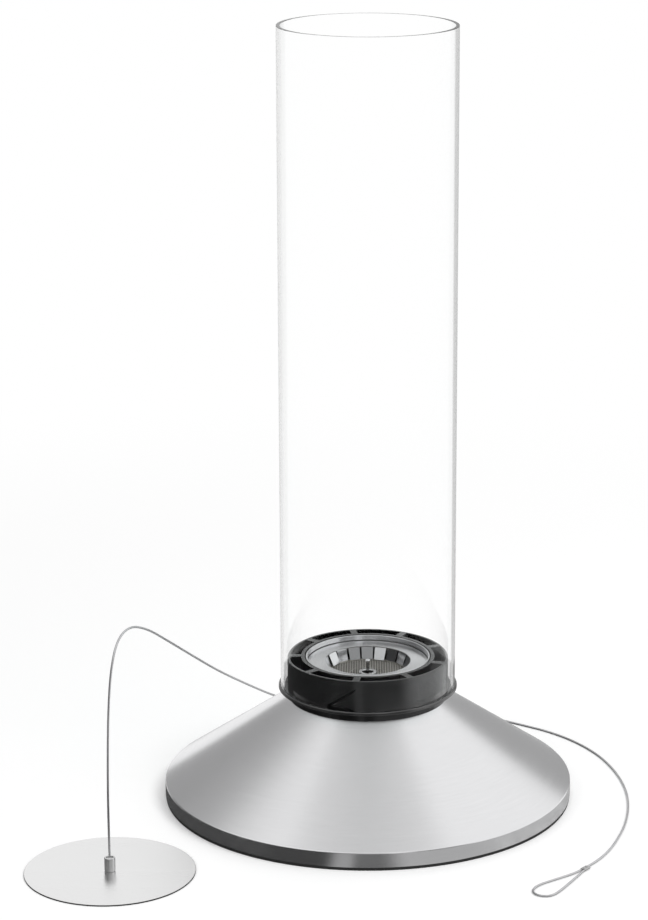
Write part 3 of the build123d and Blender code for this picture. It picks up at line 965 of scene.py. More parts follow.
@dataclass
class Base(Assembly):
    """The spun cone on its rubber feet, with the neck, the air guide and what clamps them together."""

    body = Body.BASE
    skirt_radius: float = 140.65
    foot_height: float = 2.0
    skirt_height: float = 10.3
    sheet: float = 1.5
    run_per_rise: float = 1.4566
    crease: float = 1.3
    skirt_round: float = 0.5
    land_round: float = 0.8
    inside_round: float = 1.5
    land_radius: float = 53.5
    air_bore: float = 47.0
    flange: float = 15.0
    neck_radius: float = 54.8
    neck_foot: float = 0.9
    neck_gap: float = 0.55
    neck_inset: float = 0.3
    seat_underside: float = 78.2
    seat_floor: float = 79.4
    seat_inner: float = 50.5
    lip_radius: float = 61.5
    lip_inner: float = 60.4
    lip_top: float = 80.5
    lip_round: float = 1.0
    lip_foot_round: float = 0.35
    guide_radius: float = 55.3
    guide_inner: float = 53.6
    guide_top: float = 100.7
    well_radius: float = 43.5
    well_outer: float = 46.0
    well_bottom: float = 84.0
    ledge_radius: float = 42.6
    ledge_height: float = 95.6
    vanes: int = 9
    first_vane: float = 21.6
    vane_top_width: float = 4.8
    vane_foot_width: float = 2.0
    vane_lean: float = 9.0
    vane_lap: float = 0.1
    screws: int = 3
    screw_circle: float = 49.7
    boss_radius: float = 3.4
    boss_top: float = 89.0
    boss_round: float = 0.5
    pointer_half_angle: float = 10.35
    pointer_angle: float = -108.75
    pointer_high: float = 95.3
    pointer_low: float = 82.0
    pointer_depth: float = 0.3
    pointer_steps: int = 28
    # The pointer's painted shade: a flush strip of dull coat along its slant, low end and foot, for the
    # shadow lines at its edges
    shade_strip_width: float = 2.0
    shade_strip_foot: float = 2.2
    shade_strip_tip: float = 0.4
    shade_strip_growth: float = 4.0
    foot_end: float = 0.98
    foot_growth: float = 0.25
    shade_strip_steps: int = 40
    shade_end_share: float = 0.14
    shade_strip_depth: float = 0.5
    feet: int = 6
    foot_circle: float = 132.65
    edging_outer: float = 140.3
    edging_inner: float = 136.5
    edging_lap: float = 0.05
    pad_radius: float = 5.5
    stem_radius: float = 2.0
    button_radius: float = 3.2
    button_height: float = 1.2
    pad_round: float = 0.4
    button_round: float = 0.7

    @property
    def skirt_top(self) -> float:
        """The height of the crease between the skirt and the cone."""
        return self.foot_height + self.skirt_height

    @property
    def land(self) -> float:
        """The height of the flat land at the cone's top."""
        return self.skirt_top + (self.skirt_radius - self.land_radius) / self.run_per_rise

    def pointer_edge(self, share: float) -> float:
        """The height of the pointer's slanting edge at a share of its way from the low end."""
        return self.pointer_low + (self.pointer_high - self.pointer_low) * share

    def build_cone(self) -> None:
        """Builds the spun cone: flange, skirt, cone and land."""
        level_sheet = self.sheet * hypot(1, self.run_per_rise)
        under_land = self.land - self.sheet
        inside_at_land = self.skirt_radius - level_sheet - self.run_per_rise * (under_land - self.skirt_top)
        skirt_inner = self.skirt_radius - self.sheet
        inner_top = self.skirt_top - (level_sheet - self.sheet) / self.run_per_rise
        flange_inner = self.skirt_radius - self.flange
        flange_top = self.foot_height + self.sheet
        corners = [
            (flange_inner, self.foot_height, SOFT),
            (self.skirt_radius, self.foot_height, self.skirt_round),
            (self.skirt_radius, self.skirt_top, self.crease),
            (self.land_radius, self.land, self.land_round),
            (self.air_bore, self.land, EASED),
            (self.air_bore, under_land, EASED),
            (inside_at_land, under_land, self.inside_round),
            (skirt_inner, inner_top, self.skirt_round),
            (skirt_inner, flange_top, SOFT),
            (flange_inner, flange_top, SOFT),
        ]
        self.turned("spun_cone", corners, Facets.BASE, Palette.cone, "base_cone")

    def build_feet(self) -> None:
        """Builds the rubber feet, each a pad, a stem and a button head, and the ring round their gap."""
        form = Form()
        stem_top = self.foot_height + self.sheet
        corners = [
            (0.0, 0.0),
            (self.pad_radius, 0.0, self.pad_round),
            (self.pad_radius, self.foot_height, EASED),
            (self.stem_radius, self.foot_height),
            (self.stem_radius, stem_top),
            (self.button_radius, stem_top, EASED),
            (self.button_radius, stem_top + self.button_height, self.button_round),
            (0.0, stem_top + self.button_height),
        ]
        for foot in range(self.feet):
            form.turn(corners, Facets.STUD, polar(self.foot_circle, 360 * foot / self.feet))
        self.seat(form.piece("foot_pads"), Palette.rubber, "rubber_feet")
        top = self.foot_height + self.edging_lap
        edging = square(self.edging_inner, self.edging_outer, 0.0, top, (SOFT, SOFT, BROKEN, 0))
        self.turned("foot_edging", edging, Facets.BASE, Palette.rubber, "rubber_feet")

    def build_neck(self) -> None:
        """Builds the neck between the cone and the air guide. The cone's polish doesn't mirror it."""
        gap_radius = self.neck_radius - self.neck_gap
        foot = self.land - self.neck_foot
        corners = [
            (self.air_bore, self.land),
            (self.land_radius - self.neck_inset, self.land),
            (gap_radius, foot),
            (gap_radius, foot + self.neck_gap),
            (self.neck_radius, foot + self.neck_gap, CRISP),
            (self.neck_radius, self.seat_underside),
            (self.air_bore, self.seat_underside),
        ]
        neck = self.turned("neck_ring", corners, Facets.BODY, Palette.neck_coat, "neck_collar")
        neck.visible_glossy = False

    def build_ledge(self) -> None:
        """Builds the ledge that the glass stands in, with its lip. The cone's polish doesn't mirror it."""
        corners = [
            (self.guide_radius - LAP, self.seat_underside),
            (self.lip_radius, self.seat_underside, self.lip_foot_round),
            (self.lip_radius, self.lip_top, self.lip_round),
            (self.lip_inner, self.lip_top, BROKEN),
            (self.lip_inner, self.seat_floor),
            (self.guide_radius - LAP, self.seat_floor),
        ]
        ledge = self.turned("glass_ledge", corners, Facets.LEDGE, Palette.coat, "air_guide")
        ledge.visible_glossy = False

    def wall_column(self, angle: float) -> list[Vector]:
        """Works out the air guide's outer wall at one place round it.

        Args:
            angle: the place, from +X.

        Returns:
            The points of the closed outline. The pointer is a pocket that deepens towards its low end.
        """
        across = (angle - self.pointer_angle) / self.pointer_half_angle
        inside = abs(across) < 1
        pocket = self.guide_radius - self.pointer_depth * ((1 - across) / 2 if inside else 0.0)
        edge = self.pointer_high if across >= 1 else self.pointer_low
        if inside:
            edge += (self.pointer_high - self.pointer_low) * (across + 1) / 2
        outline = rounded(
            [
                (self.seat_inner, self.seat_underside),
                (self.guide_radius, self.seat_underside),
                (self.guide_radius, self.seat_floor),
                (pocket, self.seat_floor),
                (pocket, edge),
                (self.guide_radius, edge),
                (self.guide_radius, self.guide_top, EASED),
                (self.guide_inner, self.guide_top, BROKEN),
                (self.guide_inner, self.seat_floor),
                (self.seat_inner, self.seat_floor),
            ]
        )
        return [polar(radius, angle, height) for radius, height in outline]

    def wall_angles(self) -> list[float]:
        """Gives the places round the wall, with the pointer's ends among them.

        Returns:
            The angles from +X.
        """
        sliver = 0.02
        nudge = 0.001
        low = self.pointer_angle - self.pointer_half_angle
        high = self.pointer_angle + self.pointer_half_angle
        fine = self.pointer_steps
        inside = [low + (high - low) * (step + nudge) / fine for step in range(fine)]
        span = 360 - (high - low) - sliver
        return inside + [high + span * step / Facets.LEDGE for step in range(Facets.LEDGE + 1)]

    def add_vane(self, form: Form, angle: float) -> None:
        """Adds one leaning swirl vane between the well and the outer wall.

        Args:
            form: the mesh that it joins.
            angle: the place of its top, from +X.
        """
        out = polar(1.0, angle)
        side = Vector((-out.y, out.x, 0.0))
        inner = self.well_outer - self.vane_lap
        outer = self.guide_inner + self.vane_lap
        foot = (self.vane_foot_width / 2, self.vane_lean, self.well_bottom)
        top = (self.vane_top_width / 2, 0.0, self.guide_top)
        rings = []
        for half, lean, height in (foot, top):
            up = Vector((0, 0, height))
            section = square(inner, outer, -half, half)
            rings.append(form.ring(out * along + side * (across - lean) + up for along, across, _ in section))
        form.loft(rings)

    def build_air_guide(self) -> None:
        """Builds the air guide: outer wall with the pointer, well, leaning vanes and screw bosses.

        The coat inside the air slots is duller than that of the wall and the top.
        """
        form = Form()
        form.wrap([form.ring(self.wall_column(angle)) for angle in self.wall_angles()])
        well = [
            (self.ledge_radius, self.well_bottom, EASED),
            (self.well_outer, self.well_bottom, SOFT),
            (self.well_outer, self.guide_top, BROKEN),
            (self.well_radius, self.guide_top, BROKEN),
            (self.well_radius, self.ledge_height),
            (self.ledge_radius, self.ledge_height, EASED),
        ]
        form.turn(well, Facets.BODY)
        for vane in range(self.vanes):
            self.add_vane(form, self.first_vane + 360 * vane / self.vanes)
        boss = square(0.0, self.boss_radius, self.seat_underside, self.boss_top, (0, 0, self.boss_round, 0))
        for screw in range(self.screws):
            middle = polar(self.screw_circle, self.first_vane + 360 * screw / self.screws)
            form.turn(boss, Facets.STUD, middle)
        guide = self.seat(form.piece("guide_ring", crease=28.0), Palette.coat, "air_guide")
        guide.data.materials.append(Palette.slot_coat.material())
        slot_inner = self.well_radius + 0.5
        slot_outer = self.guide_inner - 0.3
        slot_top = self.guide_top - 0.1
        for face in guide.data.polygons:
            x, y, z = face.center / MM
            if slot_inner < hypot(x, y) < slot_outer and z < slot_top:
                face.material_index = 1
        self.sharpen_pointer(guide.data)

    def sharpen_pointer(self, mesh: bpy.types.Mesh) -> None:
        """Keeps the shading of the pointer's pocket apart from the wall round it.

        Args:
            mesh: the air guide's mesh.
        """
        low = radians(self.pointer_angle - self.pointer_half_angle)
        high = radians(self.pointer_angle + self.pointer_half_angle)
        wall_radius = self.guide_inner + 0.05
        inside = set()
        for face in mesh.polygons:
            x, y, z = face.center / MM
            turn = atan2(y, x)
            outside = hypot(x, y) > wall_radius
            edge = self.pointer_edge((turn - low) / (high - low))
            if low < turn < high and outside and self.seat_floor + LAP < z < edge:
                inside.add(face.index)
        sides: dict[tuple[int, int], set[bool]] = {}
        for face in mesh.polygons:
            for key in face.edge_keys:
                sides.setdefault(key, set()).add(face.index in inside)
        for edge in mesh.edges:
            if len(sides[tuple(sorted(edge.vertices))]) > 1:
                edge.use_edge_sharp = True

    def build_pointer_shade(self) -> None:
        """Builds painted shade at the pointer: a strip of dull coat, flush with the wall, along its slant,
        down its low end and along its foot, in place of the shadow lines at its edges.
        """
        form = Form()
        # painted shade: the strip runs from inside the wall to just proud of it, so it is a dark band and no
        # recess
        radii = (self.guide_radius - self.shade_strip_depth, self.guide_radius + LAP)
        slant: list[Triple] = []
        foot: list[Triple] = []
        for step in range(self.shade_strip_steps + 1):
            share = step / self.shade_strip_steps
            angle = self.pointer_angle + self.pointer_half_angle * (2 * share - 1)
            edge = self.pointer_edge(share)
            narrowed = min(1.0, self.shade_strip_tip + self.shade_strip_growth * (1 - share))
            slant.append((angle, edge - self.shade_strip_width * narrowed, edge))
            rise = self.shade_strip_foot * min(1.0, max(0.0, (self.foot_end - share) / self.foot_growth))
            foot.append((angle, self.seat_floor, self.seat_floor + rise + LAP))
        shade_end_steps = round(self.shade_strip_steps * self.shade_end_share)
        low_end = [(turn, self.seat_floor, edge) for turn, _, edge in slant[:shade_end_steps]]
        for run in (slant, foot, low_end):
            rings = []
            for angle, low, high in run:
                section = square(*radii, low, high)
                rings.append(form.ring(polar(radius, angle, height) for radius, height, _ in section))
            form.loft(rings)
        self.seat(form.piece("pointer_shade_strip"), Palette.pointer_shade_coat, "air_guide")

    def build(self) -> None:
        """Builds the base."""
        self.build_cone()
        self.build_feet()
        self.build_neck()
        self.build_ledge()
        self.build_air_guide()
        self.build_pointer_shade()
        self.keep(Palette.zinc, "retaining_ring", "retaining_screws")
        self.keep(Palette.silicone, "glass_gasket")
        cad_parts["glass_gasket"].visible_glossy = False


@dataclass
class Chimney(Assembly):
    """The open glass tube, with fire-polished rims."""

    body = Body.CHIMNEY
    radius: float = 60.0
    wall: float = 2.5
    bottom: float = 80.0
    top: float = 534.0
    rim_round: float = 0.35

    def build(self) -> None:
        """Builds the glass."""
        corners = square(self.radius - self.wall, self.radius, self.bottom, self.top, (self.rim_round,) * 4)
        self.turned("chimney_glass", corners, Facets.BASE, Palette.glass, "glass_tube")


@dataclass
class Burner(Assembly):
    """The can that holds the fuel, its lid, the crown of tabs, the wire cloth and the filler eyelet."""

    body = Body.BURNER
    can_radius: float = 42.3
    can_wall: float = 0.5
    can_bottom: float = 24.0
    can_top: float = 99.4
    can_corner: float = 3.0
    lid_level: float = 97.0
    lid_sheet: float = 0.6
    lid_gap: float = 0.1
    lid_edge: float = 0.12
    ledge_height: float = 95.6
    seam_radius: float = 42.8
    seam_inner: float = 41.6
    seam_top: float = 100.6
    seam_round: float = 0.4
    seam_depth: float = 0.5
    seam_lean: float = 0.2
    seam_lap: float = 0.1
    joint_shade_width: float = 0.4
    joint_shade_height: float = 0.45
    mouth_radius: float = 29.4
    crown_bend_radius: float = 30.7
    tabs: int = 20
    first_slot: float = 27.7
    slot_width: float = 1.3
    tab_foot: float = 27.3
    tab_sheet: float = 0.5
    tab_bend: float = 0.45
    tab_bend_steps: int = 6
    tab_wobble: float = 0.25
    tab_seed: int = 20
    bent_tabs: tuple[tuple[int, float], ...] = ((2, -1.0), (5, 1.1), (6, -0.8))
    crown_radius: float = 34.0
    crown_land: float = 1.2
    tab_lap: float = 0.5
    mesh_top: float = 88.0
    mesh_radius: float = 29.8
    rim_height: float = 0.8
    rim_lap: float = 0.2
    wire_pitch: float = 1.75
    wire_radius: float = 0.30
    cross_wire_radius: float = 0.14
    wire_level: float = 87.42
    wire_sides: int = 6
    wire_steps: int = 4
    wire_hole: float = 4.9
    eyelet_radius: float = 6.25
    eyelet_bore: float = 3.75
    eyelet_neck: float = 4.5
    eyelet_top: float = 88.9
    eyelet_foot: float = 5.5
    eyelet_roll: float = 0.8
    eyelet_foot_round: float = 0.25
    eyelet_outer_round: float = 0.85
    eyelet_inner_round: float = 0.9

    def build_can(self) -> None:
        """Builds the thin drawn can."""
        inner = self.can_radius - self.can_wall
        floor = self.can_bottom + self.can_wall
        corners = [
            (0.0, self.can_bottom),
            (self.can_radius, self.can_bottom, self.can_corner),
            (self.can_radius, self.can_top, BROKEN),
            (inner, self.can_top, BROKEN),
            (inner, floor, self.can_corner - self.can_wall),
            (0.0, floor),
        ]
        self.turned("fuel_can", corners, Facets.BODY, Palette.burner, "burner_can")

    def build_lid(self) -> None:
        """Builds the recessed lid with its rolled seam, and a dark ring in the joint inside the seam: painted
        shade for the dark line where the seam meets the lid.
        """
        outer = self.can_radius + self.lid_gap
        underside = self.lid_level - self.lid_sheet
        groove = self.lid_level - self.seam_depth
        line = self.seam_inner - self.joint_shade_width
        corners = [
            (self.mouth_radius, underside, BROKEN),
            (self.seam_inner - self.seam_lean, underside),
            (self.seam_inner + self.seam_lap, self.can_top),
            (outer, self.can_top),
            (outer, self.ledge_height),
            (self.seam_radius, self.ledge_height, SOFT),
            (self.seam_radius, self.seam_top, self.seam_round),
            (self.seam_inner, self.seam_top, self.seam_round),
            (self.seam_inner, groove),
            (line, groove),
            (line, self.lid_level, self.lid_edge),
            (self.mouth_radius, self.lid_level, self.lid_edge),
        ]
        self.turned("lid_ring", corners, Facets.LEDGE, Palette.burner, "burner_lid")
        # painted shade: a dark ring in the joint between the seam and the lid
        joint_shade_top = self.lid_level + self.joint_shade_height
        joint_shade = square(line, self.seam_inner + LAP, groove, joint_shade_top, (0, 0, 0, CRISP))
        self.turned("seam_joint_shade", joint_shade, Facets.BODY, Palette.joint_shade, "burner_lid")

    def add_tab(self, form: Form, angle: float, tilt: float) -> None:
        """Adds one tab: a strip that leaves the flange level, bends down and leans in to the wire cloth.

        Args:
            form: the mesh that it joins.
            angle: the place of its middle, from +X.
            tilt: how far its foot stands in or out of line.
        """
        level = self.lid_level - self.lid_sheet - self.tab_sheet / 2
        width = tau * self.mouth_radius / self.tabs - self.slot_width
        corners = [
            (self.crown_radius - self.tab_lap, level),
            (self.crown_bend_radius, level, self.tab_bend),
            (self.tab_foot + self.tab_sheet / 2 + tilt, self.mesh_top),
        ]
        line = rounded(corners, self.tab_bend_steps)
        out = polar(1.0, angle)
        side = Vector((-out.y, out.x, 0.0))
        rings = []
        for index, (radius, height) in enumerate(line):
            before = line[max(index - 1, 0)]
            after = line[min(index + 1, len(line) - 1)]
            run = Vector((after[0] - before[0], after[1] - before[1])).normalized()
            face = Vector((-run.y, run.x)) * self.tab_sheet / 2
            narrow = width / 2 * radius / self.mouth_radius
            spots = [
                out * (radius + face.x * way) + side * (narrow * hand) + Vector((0, 0, height + face.y * way))
                for way, hand in ((1, -1), (1, 1), (-1, 1), (-1, -1))
            ]
            rings.append(form.ring(spots))
        form.loft(rings)

    def build_crown(self) -> None:
        """Builds the crown: a flange under the lid and its ring of tabs, three of them bent out of line."""
        form = Form()
        top = self.lid_level - self.lid_sheet
        inner = self.crown_bend_radius + self.crown_land
        form.turn(square(inner, self.crown_radius, top - self.tab_sheet, top), Facets.BODY)
        draw = Random(self.tab_seed)
        for tab in range(self.tabs):
            wobble = draw.uniform(-self.tab_wobble, self.tab_wobble)
            angle = self.first_slot + 360 * (tab + 0.5) / self.tabs
            self.add_tab(form, angle, dict(self.bent_tabs).get(tab, wobble))
        self.seat(form.piece("tab_crown", crease=40.0), Palette.crown, "mouth_crown")

    def wire_spans(self, offset: float) -> list[Pair]:
        """Works out where a wire that passes the middle at a distance lies on the cloth.

        Args:
            offset: the wire's distance from the middle.

        Returns:
            The start and the end of each stretch. A wire that meets the filler hole has two.
        """
        reach = (self.mesh_radius**2 - offset**2) ** 0.5
        if abs(offset) >= self.wire_hole:
            return [(-reach, reach)]
        hole = (self.wire_hole**2 - offset**2) ** 0.5
        return [(-reach, -hole), (hole, reach)]

    def add_wires(self, form: Form, row: int, along_x: bool) -> None:
        """Adds the wires of one row, which dip under and over those that cross them.

        Args:
            form: the mesh that they join.
            row: the row's number from the middle.
            along_x: whether they run along X, as the thin wires do, or along Y.
        """
        offset = row * self.wire_pitch
        hand = (1 if row % 2 else -1) * (1 if along_x else -1)
        thickness = self.cross_wire_radius if along_x else self.wire_radius
        for start, end in self.wire_spans(offset):
            steps = max(2, round((end - start) / self.wire_pitch * self.wire_steps))
            path = []
            for step in range(steps + 1):
                along = start + (end - start) * step / steps
                rise = hand * thickness * cos(pi * along / self.wire_pitch)
                place = (along, offset) if along_x else (offset, along)
                path.append(Vector((*place, self.wire_level + rise)))
            form.tube(path, self.wire_sides, lambda *_: thickness)

    def build_cloth(self) -> None:
        """Builds the wire cloth from woven wires, with a pressed rim under the tabs."""
        form = Form()
        count = int(self.mesh_radius / self.wire_pitch)
        for row in range(-count, count + 1):
            self.add_wires(form, row, along_x=True)
            self.add_wires(form, row, along_x=False)
        inner = self.tab_foot - self.rim_lap
        outer = self.mesh_radius + self.rim_lap
        rim = square(inner, outer, self.mesh_top - self.rim_height, self.mesh_top, (EASED,) * 4)
        form.turn(rim, Facets.RIM)
        self.seat(form.piece("wick_cloth", crease=50.0), Palette.cloth, "wick_mesh")

    def build_eyelet(self) -> None:
        """Builds the rolled filler eyelet."""
        underside = self.mesh_top - self.rim_height
        corners = [
            (self.eyelet_bore, underside - self.eyelet_roll, SOFT),
            (self.eyelet_foot, underside - self.eyelet_roll, SOFT),
            (self.eyelet_foot, underside),
            (self.eyelet_neck, underside),
            (self.eyelet_neck, self.mesh_top),
            (self.eyelet_radius, self.mesh_top, self.eyelet_foot_round),
            (self.eyelet_radius, self.eyelet_top, self.eyelet_outer_round),
            (self.eyelet_bore, self.eyelet_top, self.eyelet_inner_round),
        ]
        self.turned("filler_ring", corners, Facets.EYELET, Palette.eyelet, "filler_eyelet")

    def build(self) -> None:
        """Builds the burner."""
        self.build_can()
        self.build_lid()
        self.build_crown()
        self.build_cloth()
        self.build_eyelet()
        self.keep(Palette.burner, "float_cage")
        self.keep(Palette.wool, "fuel_wool")


@dataclass
class Gauge(Assembly):
    """The pin that shows the fuel's level through the eyelet, with its bright domed head, and its float."""

    body = Body.GAUGE
    radius: float = 1.1
    head_radius: float = 1.7
    head_height: float = 1.6
    dome: float = 0.5
    shoulder_lap: float = 0.1
    top: float = 97.2
    bottom: float = 64.4

    def build(self) -> None:
        """Builds the pin."""
        shoulder = self.top - self.head_height
        pin = square(0.0, self.radius, self.bottom, shoulder + self.shoulder_lap, (0, SOFT, 0, 0))
        head = square(0.0, self.head_radius, shoulder, self.top, (0, EASED, self.dome, 0))
        self.turned("gauge_pin", pin, Facets.PIN, Palette.pin, "level_pin")
        self.turned("gauge_head", head, Facets.PIN, Palette.polished, "level_pin")
        self.keep(Palette.foam, "gauge_float")
        self.keep(Palette.zinc, "float_clip")


# Studio


@dataclass(frozen=True)
class Card:
    """A grey card that only gives metal and black coating something to reflect. Glass doesn't mirror it.

    Args:
        name: the card's name.
        turn: where it begins and ends, from straight in front of the object to its right.
        shades: how light it is, where 1 is white, or its lower or inner part and then its other part.
        fades: how soft its edges are: left and right in degrees, low and high as shares of its reach.
        bend: how late the lower shade gives way to the upper one.
        in_glass: whether only the glass mirrors the card, in place of metal and coating.
    """

    name: str
    turn: Pair
    shades: tuple[float, ...]
    fades: tuple[float, float, float, float]
    bend: float = 1.0
    in_glass: bool = False

    def point(self, turn: float, share: float) -> Triple:
        """Gives a point of the card, in metres, from its turn and how far up or out it is."""
        raise NotImplementedError

    def material(self) -> bpy.types.Material:
        """Builds the card's material, which lights nothing.

        Returns:
            The material.
        """
        least = 0.0001
        nodes = Nodes(bpy.data.materials.new(self.name))
        across, up, _ = nodes.split(nodes.add("ShaderNodeUVMap"))
        wide = self.turn[1] - self.turn[0]
        widths = (self.fades[0] / wide, self.fades[1] / wide, self.fades[2], self.fades[3])
        ways = (across, 1.0 - across, up, 1.0 - up)
        left, right, low, high = (nodes.ramp(way, max(width, least)) for way, width in zip(ways, widths))
        ray = nodes.add("ShaderNodeLightPath").at
        by_glass = ray("Is Singular Ray")
        shown = by_glass if self.in_glass else 1.0 - by_glass
        cover = left * right * (low * high) * ((ray("Glossy Depth") > 0.5) * shown)
        share = nodes.sum("POWER", up, self.bend)
        colour = nodes.blend(share, (self.shades[0],) * 3, (self.shades[-1],) * 3)
        glow = nodes.add("ShaderNodeEmission", {"Color": colour})
        clear = nodes.add("ShaderNodeBsdfTransparent")
        nodes.add("ShaderNodeOutputMaterial", {"Surface": nodes.mix(cover, clear, glow)})
        nodes.owner.cycles.emission_sampling = "NONE"
        return nodes.owner

    def build(self, columns: int = 48, rows: int = 24) -> None:
        """Builds the card as a grid of faces.

        Args:
            columns: how many faces stand side by side.
            rows: how many faces stand one above the other.
        """
        wide = columns + 1
        span = self.turn[1] - self.turn[0]
        points = [
            self.point(radians(self.turn[0] + span * column / columns), row / rows)
            for row in range(rows + 1)
            for column in range(wide)
        ]
        starts = [row * wide + column for row in range(rows) for column in range(columns)]
        mesh = bpy.data.meshes.new(self.name)
        mesh.from_pydata(points, [], [(at, at + 1, at + wide + 1, at + wide) for at in starts])
        layer = mesh.uv_layers.new(name="place")
        for loop in mesh.loops:
            row, column = divmod(loop.vertex_index, wide)
            layer.data[loop.index].uv = (column / columns, row / rows)
        card = bpy.data.objects.new(self.name, mesh)
        bpy.context.scene.collection.objects.link(card)
        mesh.materials.append(self.material())
        card.visible_camera = False
        card.visible_diffuse = False
        card.visible_shadow = False


@dataclass(frozen=True)
class SkyCard(Card):
    """A card far off, a patch of a large sphere round the object, from one height in degrees to another."""

    rise: Pair = (0.0, 30.0)
    distance: float = 3.0

    def point(self, turn: float, share: float) -> Triple:
        """Gives a point on the sphere, in metres, from its turn and how far up it is."""
        rise = radians(self.rise[0] + (self.rise[1] - self.rise[0]) * share)
        level = self.distance * cos(rise)
        return (level * sin(turn), -level * cos(turn), self.distance * sin(rise))


@dataclass(frozen=True)
class FloorCard(Card):
    """A card that lies round the base, just under the floor, and widens by a length from end to end."""

    reach: Pair = (0.12, 0.30)
    widens: float = 0.0
    level: float = -0.01

    def point(self, turn: float, share: float) -> Triple:
        """Gives a point on the flat ring, in metres, from its turn and how far out it is."""
        along = (degrees(turn) - self.turn[0]) / (self.turn[1] - self.turn[0])
        outer = self.reach[1] + self.widens * along
        radius = self.reach[0] + (outer - self.reach[0]) * share
        return (radius * sin(turn), -radius * cos(turn), self.level)


@dataclass(frozen=True)
class Lamp:
    """A soft area lamp, in metres and watts. Metal reflects the cards instead of it."""

    name: str
    place: Triple
    size: float
    power: float
    aim: Triple = (0.0, 0.0, 0.1)

    def build(self) -> None:
        """Builds the lamp."""
        light = bpy.data.lights.new(self.name, "AREA")
        light.shape = "DISK"
        light.size = self.size
        light.energy = self.power
        lamp = bpy.data.objects.new(self.name, light)
        lamp.location = self.place
        lamp.rotation_euler = (Vector(self.aim) - Vector(self.place)).to_track_quat("-Z", "Y").to_euler()
        lamp.visible_glossy = False
        bpy.context.scene.collection.objects.link(lamp)


